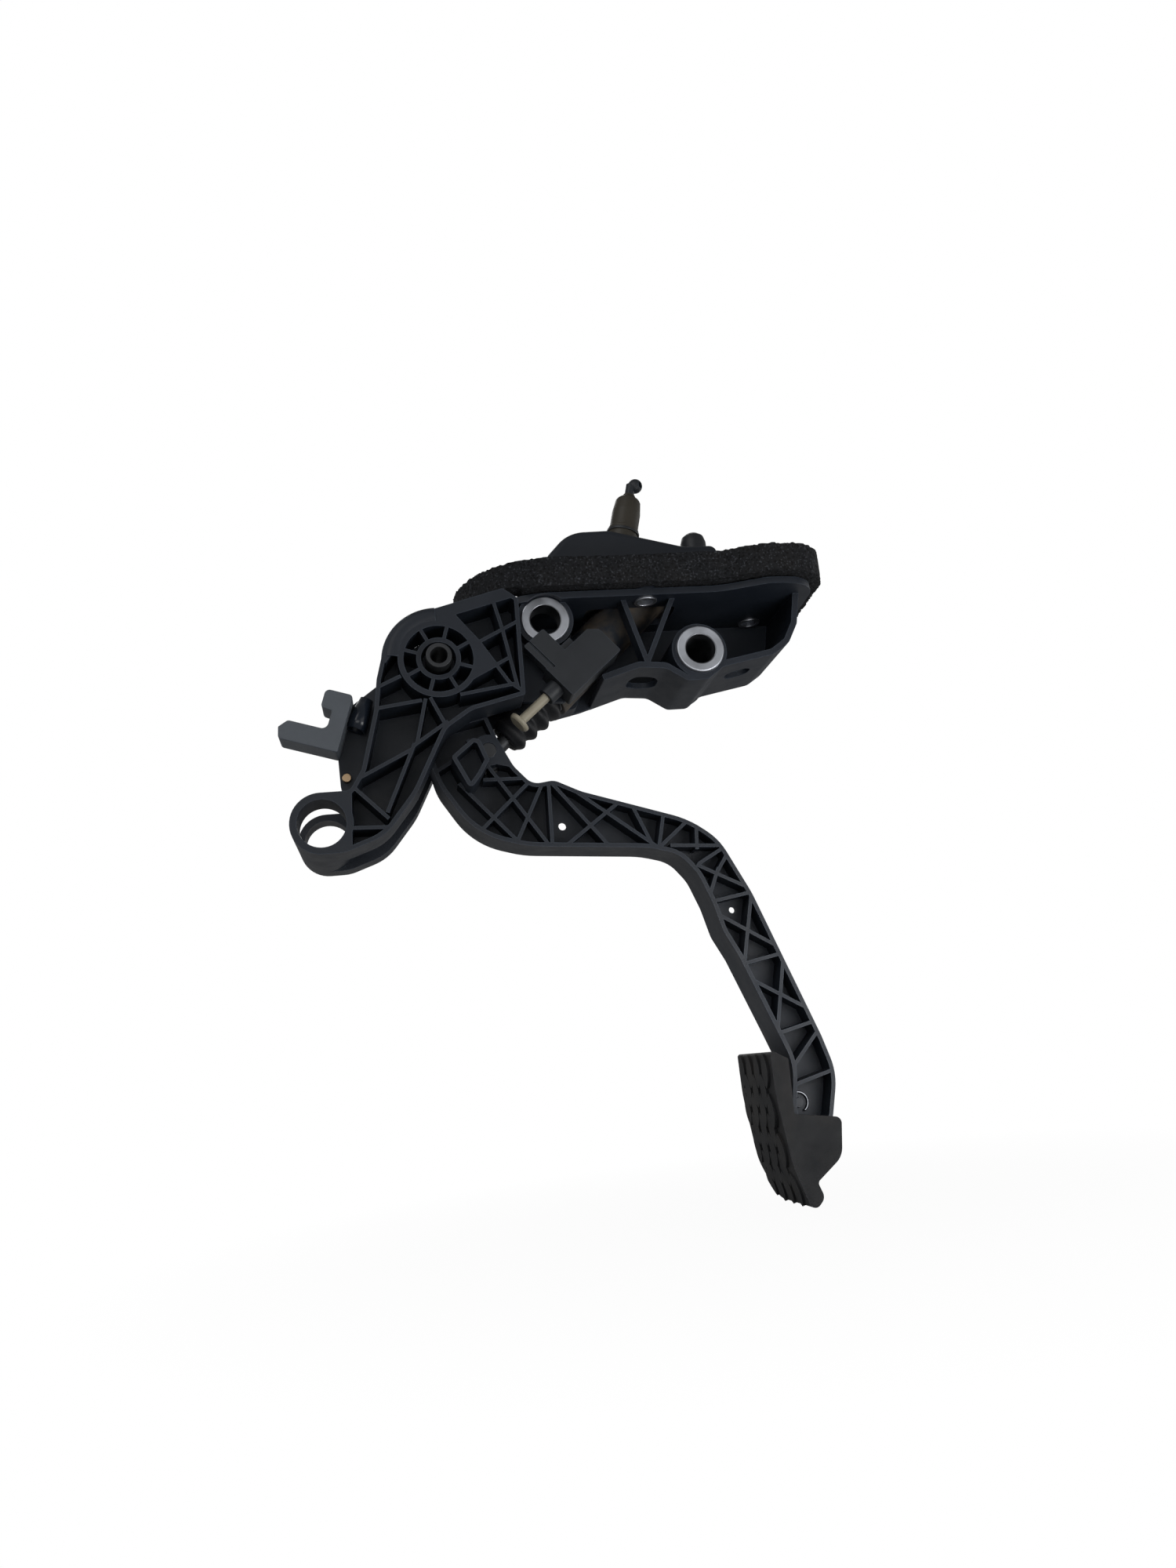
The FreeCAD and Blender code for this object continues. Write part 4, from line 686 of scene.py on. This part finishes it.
class PEDAL_OT_stage(bpy.types.Operator):
    """Camera, pale floor and soft lamps"""

    bl_idname = "pedal.stage"
    bl_label = "Stage"

    def execute(self, context):
        scene = context.scene
        stage = scene.pedal_stage
        scene.view_settings.view_transform = "Standard"
        self.camera(scene, stage)
        self.floor(scene, stage)
        self.room(scene, stage)
        target = (Vector(cad_box[0]) + Vector(cad_box[1])) / 2
        self.lamp(scene, "Key", (-0.55, -0.75, 0.65), target, stage.key, 0.7)
        self.lamp(scene, "Fill", (0.75, -0.85, 0.05), target, stage.fill, 0.8)
        self.lamp(scene, "Front", (-0.15, -0.95, -0.12), target, stage.front, 0.6)
        foot = Vector(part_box("pedal_pad")[1])
        self.lamp(scene, "Low", (0.12, -0.30, -0.02), foot, stage.low, 0.25)
        self.lamp(scene, "Back", (0.1, 0.9, 0.6), target, stage.rear, 0.8)
        self.lamp(scene, "Left side", (-1.0, 0.25, 0.1), target, stage.side, 0.6)
        self.lamp(scene, "Right side", (1.0, 0.25, 0.1), target, stage.side, 0.6)
        return {"FINISHED"}

    def camera(self, scene, stage):
        """Camera at the photograph's angle."""
        data = bpy.data.cameras.new("Camera")
        data.lens = stage.lens
        data.sensor_width = 36.0
        data.clip_start = 0.01
        camera = bpy.data.objects.new("Camera", data)
        camera.location = stage.camera_place
        camera.rotation_euler = Euler([math.radians(angle) for angle in stage.camera_turn])
        scene.collection.objects.link(camera)
        scene.camera = camera

    def floor(self, scene, stage):
        """Pale floor that keeps a faint shadow and is white to the camera."""
        half = FLOOR_HALF
        under = cad_box[0][2] - FLOOR_GAP
        mesh = bpy.data.meshes.new("Floor")
        corners = [(-half, -half, under), (half, -half, under), (half, half, under), (-half, half, under)]
        mesh.from_pydata(corners, [], [(0, 1, 2, 3)])
        floor = bpy.data.objects.new("Floor", mesh)
        scene.collection.objects.link(floor)
        material, tree, shader = blank_material("Floor paint")
        shader.inputs["Base Color"].default_value = (*stage.floor, 1.0)
        shader.inputs["Roughness"].default_value = 0.9
        path = node(tree, "ShaderNodeLightPath")
        glow = node(tree, "ShaderNodeEmission", in_Strength=1.0)
        mirrored = node(tree, "ShaderNodeMath", ((0, path.outputs["Is Glossy Ray"]),), operation="MULTIPLY",
                        in_1=MIRRORED_FLOOR)
        seen = node(tree, "ShaderNodeMath", ((0, path.outputs["Is Camera Ray"]), (1, mirrored.outputs[0])),
                    operation="MAXIMUM")
        place = node(tree, "ShaderNodeTexCoord")
        away = node(tree, "ShaderNodeVectorMath", ((0, place.outputs["Object"]),), operation="LENGTH")
        share = node(tree, "ShaderNodeMapRange", (("Value", away.outputs["Value"]),), in_1=FLOOR_NEAR,
                     in_2=FLOOR_FAR, in_3=FLOOR_GLOW_NEAR, in_4=FLOOR_GLOW_FAR)
        most = node(tree, "ShaderNodeMath", ((0, seen.outputs[0]), (1, share.outputs[0])), operation="MULTIPLY")
        blend = node(tree, "ShaderNodeMixShader",
                     (("Fac", most.outputs[0]), (1, shader.outputs[0]), (2, glow.outputs[0])))
        tree.links.new(blend.outputs[0], tree.nodes["Material Output"].inputs["Surface"])
        mesh.materials.append(material)

    def room(self, scene, stage):
        """Even room light that is white to the camera."""
        world = bpy.data.worlds.new("Room")
        scene.world = world
        world.use_nodes = True
        tree = world.node_tree
        path = node(tree, "ShaderNodeLightPath")
        seen = node(tree, "ShaderNodeMath",
                    ((0, path.outputs["Is Camera Ray"]), (1, path.outputs["Is Transmission Ray"])),
                    operation="MAXIMUM")
        level = node(tree, "ShaderNodeMapRange", (("Value", seen.outputs[0]),), in_3=stage.sky, in_4=1.0)
        back = tree.nodes["Background"]
        back.inputs["Color"].default_value = (1.0, 1.0, 1.0, 1.0)
        tree.links.new(level.outputs[0], back.inputs["Strength"])

    def lamp(self, scene, name, place, target, power, size):
        """Soft square lamp aimed at the pedal."""
        data = bpy.data.lights.new(name, "AREA")
        data.energy = power
        data.size = size
        lamp = bpy.data.objects.new(name, data)
        lamp.location = Vector(place) + target
        lamp.rotation_euler = (-Vector(place)).to_track_quat("-Z", "Y").to_euler()
        scene.collection.objects.link(lamp)


class PEDAL_PT_looks(bpy.types.Panel):
    """Lists the pedal's finishes and steps"""

    bl_idname = "PEDAL_PT_looks"
    bl_label = "Clutch pedal"
    bl_space_type = "VIEW_3D"
    bl_region_type = "UI"
    bl_category = "Pedal"

    def draw(self, context):
        column = self.layout.column()
        for step in STEPS:
            column.operator(step.bl_idname)
        for holder in (context.scene.pedal_finish, context.scene.pedal_shape, context.scene.pedal_stage):
            for key in holder.__annotations__:
                column.prop(holder, key)


STEPS = (
    PEDAL_OT_stage, PEDAL_OT_mouldings, PEDAL_OT_fittings, PEDAL_OT_metals, PEDAL_OT_rubber, PEDAL_OT_pad_clip,
    PEDAL_OT_wing_hood, PEDAL_OT_foam,
)
HOLDERS = (("pedal_finish", PedalFinish), ("pedal_shape", PedalShape), ("pedal_stage", PedalStage))


def register():
    for key, holder in HOLDERS:
        bpy.utils.register_class(holder)
        setattr(bpy.types.Scene, key, PointerProperty(type=holder))
    for step in (*STEPS, PEDAL_PT_looks):
        bpy.utils.register_class(step)


def unregister():
    for step in (PEDAL_PT_looks, *reversed(STEPS)):
        bpy.utils.unregister_class(step)
    for key, holder in reversed(HOLDERS):
        delattr(bpy.types.Scene, key)
        bpy.utils.unregister_class(holder)


def main():
    register()
    bpy.ops.pedal.stage()
    bpy.ops.pedal.mouldings()
    bpy.ops.pedal.fittings()
    bpy.ops.pedal.metals()
    bpy.ops.pedal.rubber()
    bpy.ops.pedal.pad_clip()
    bpy.ops.pedal.wing_hood()
    bpy.ops.pedal.foam()


if __name__ == "__main__":
    main()
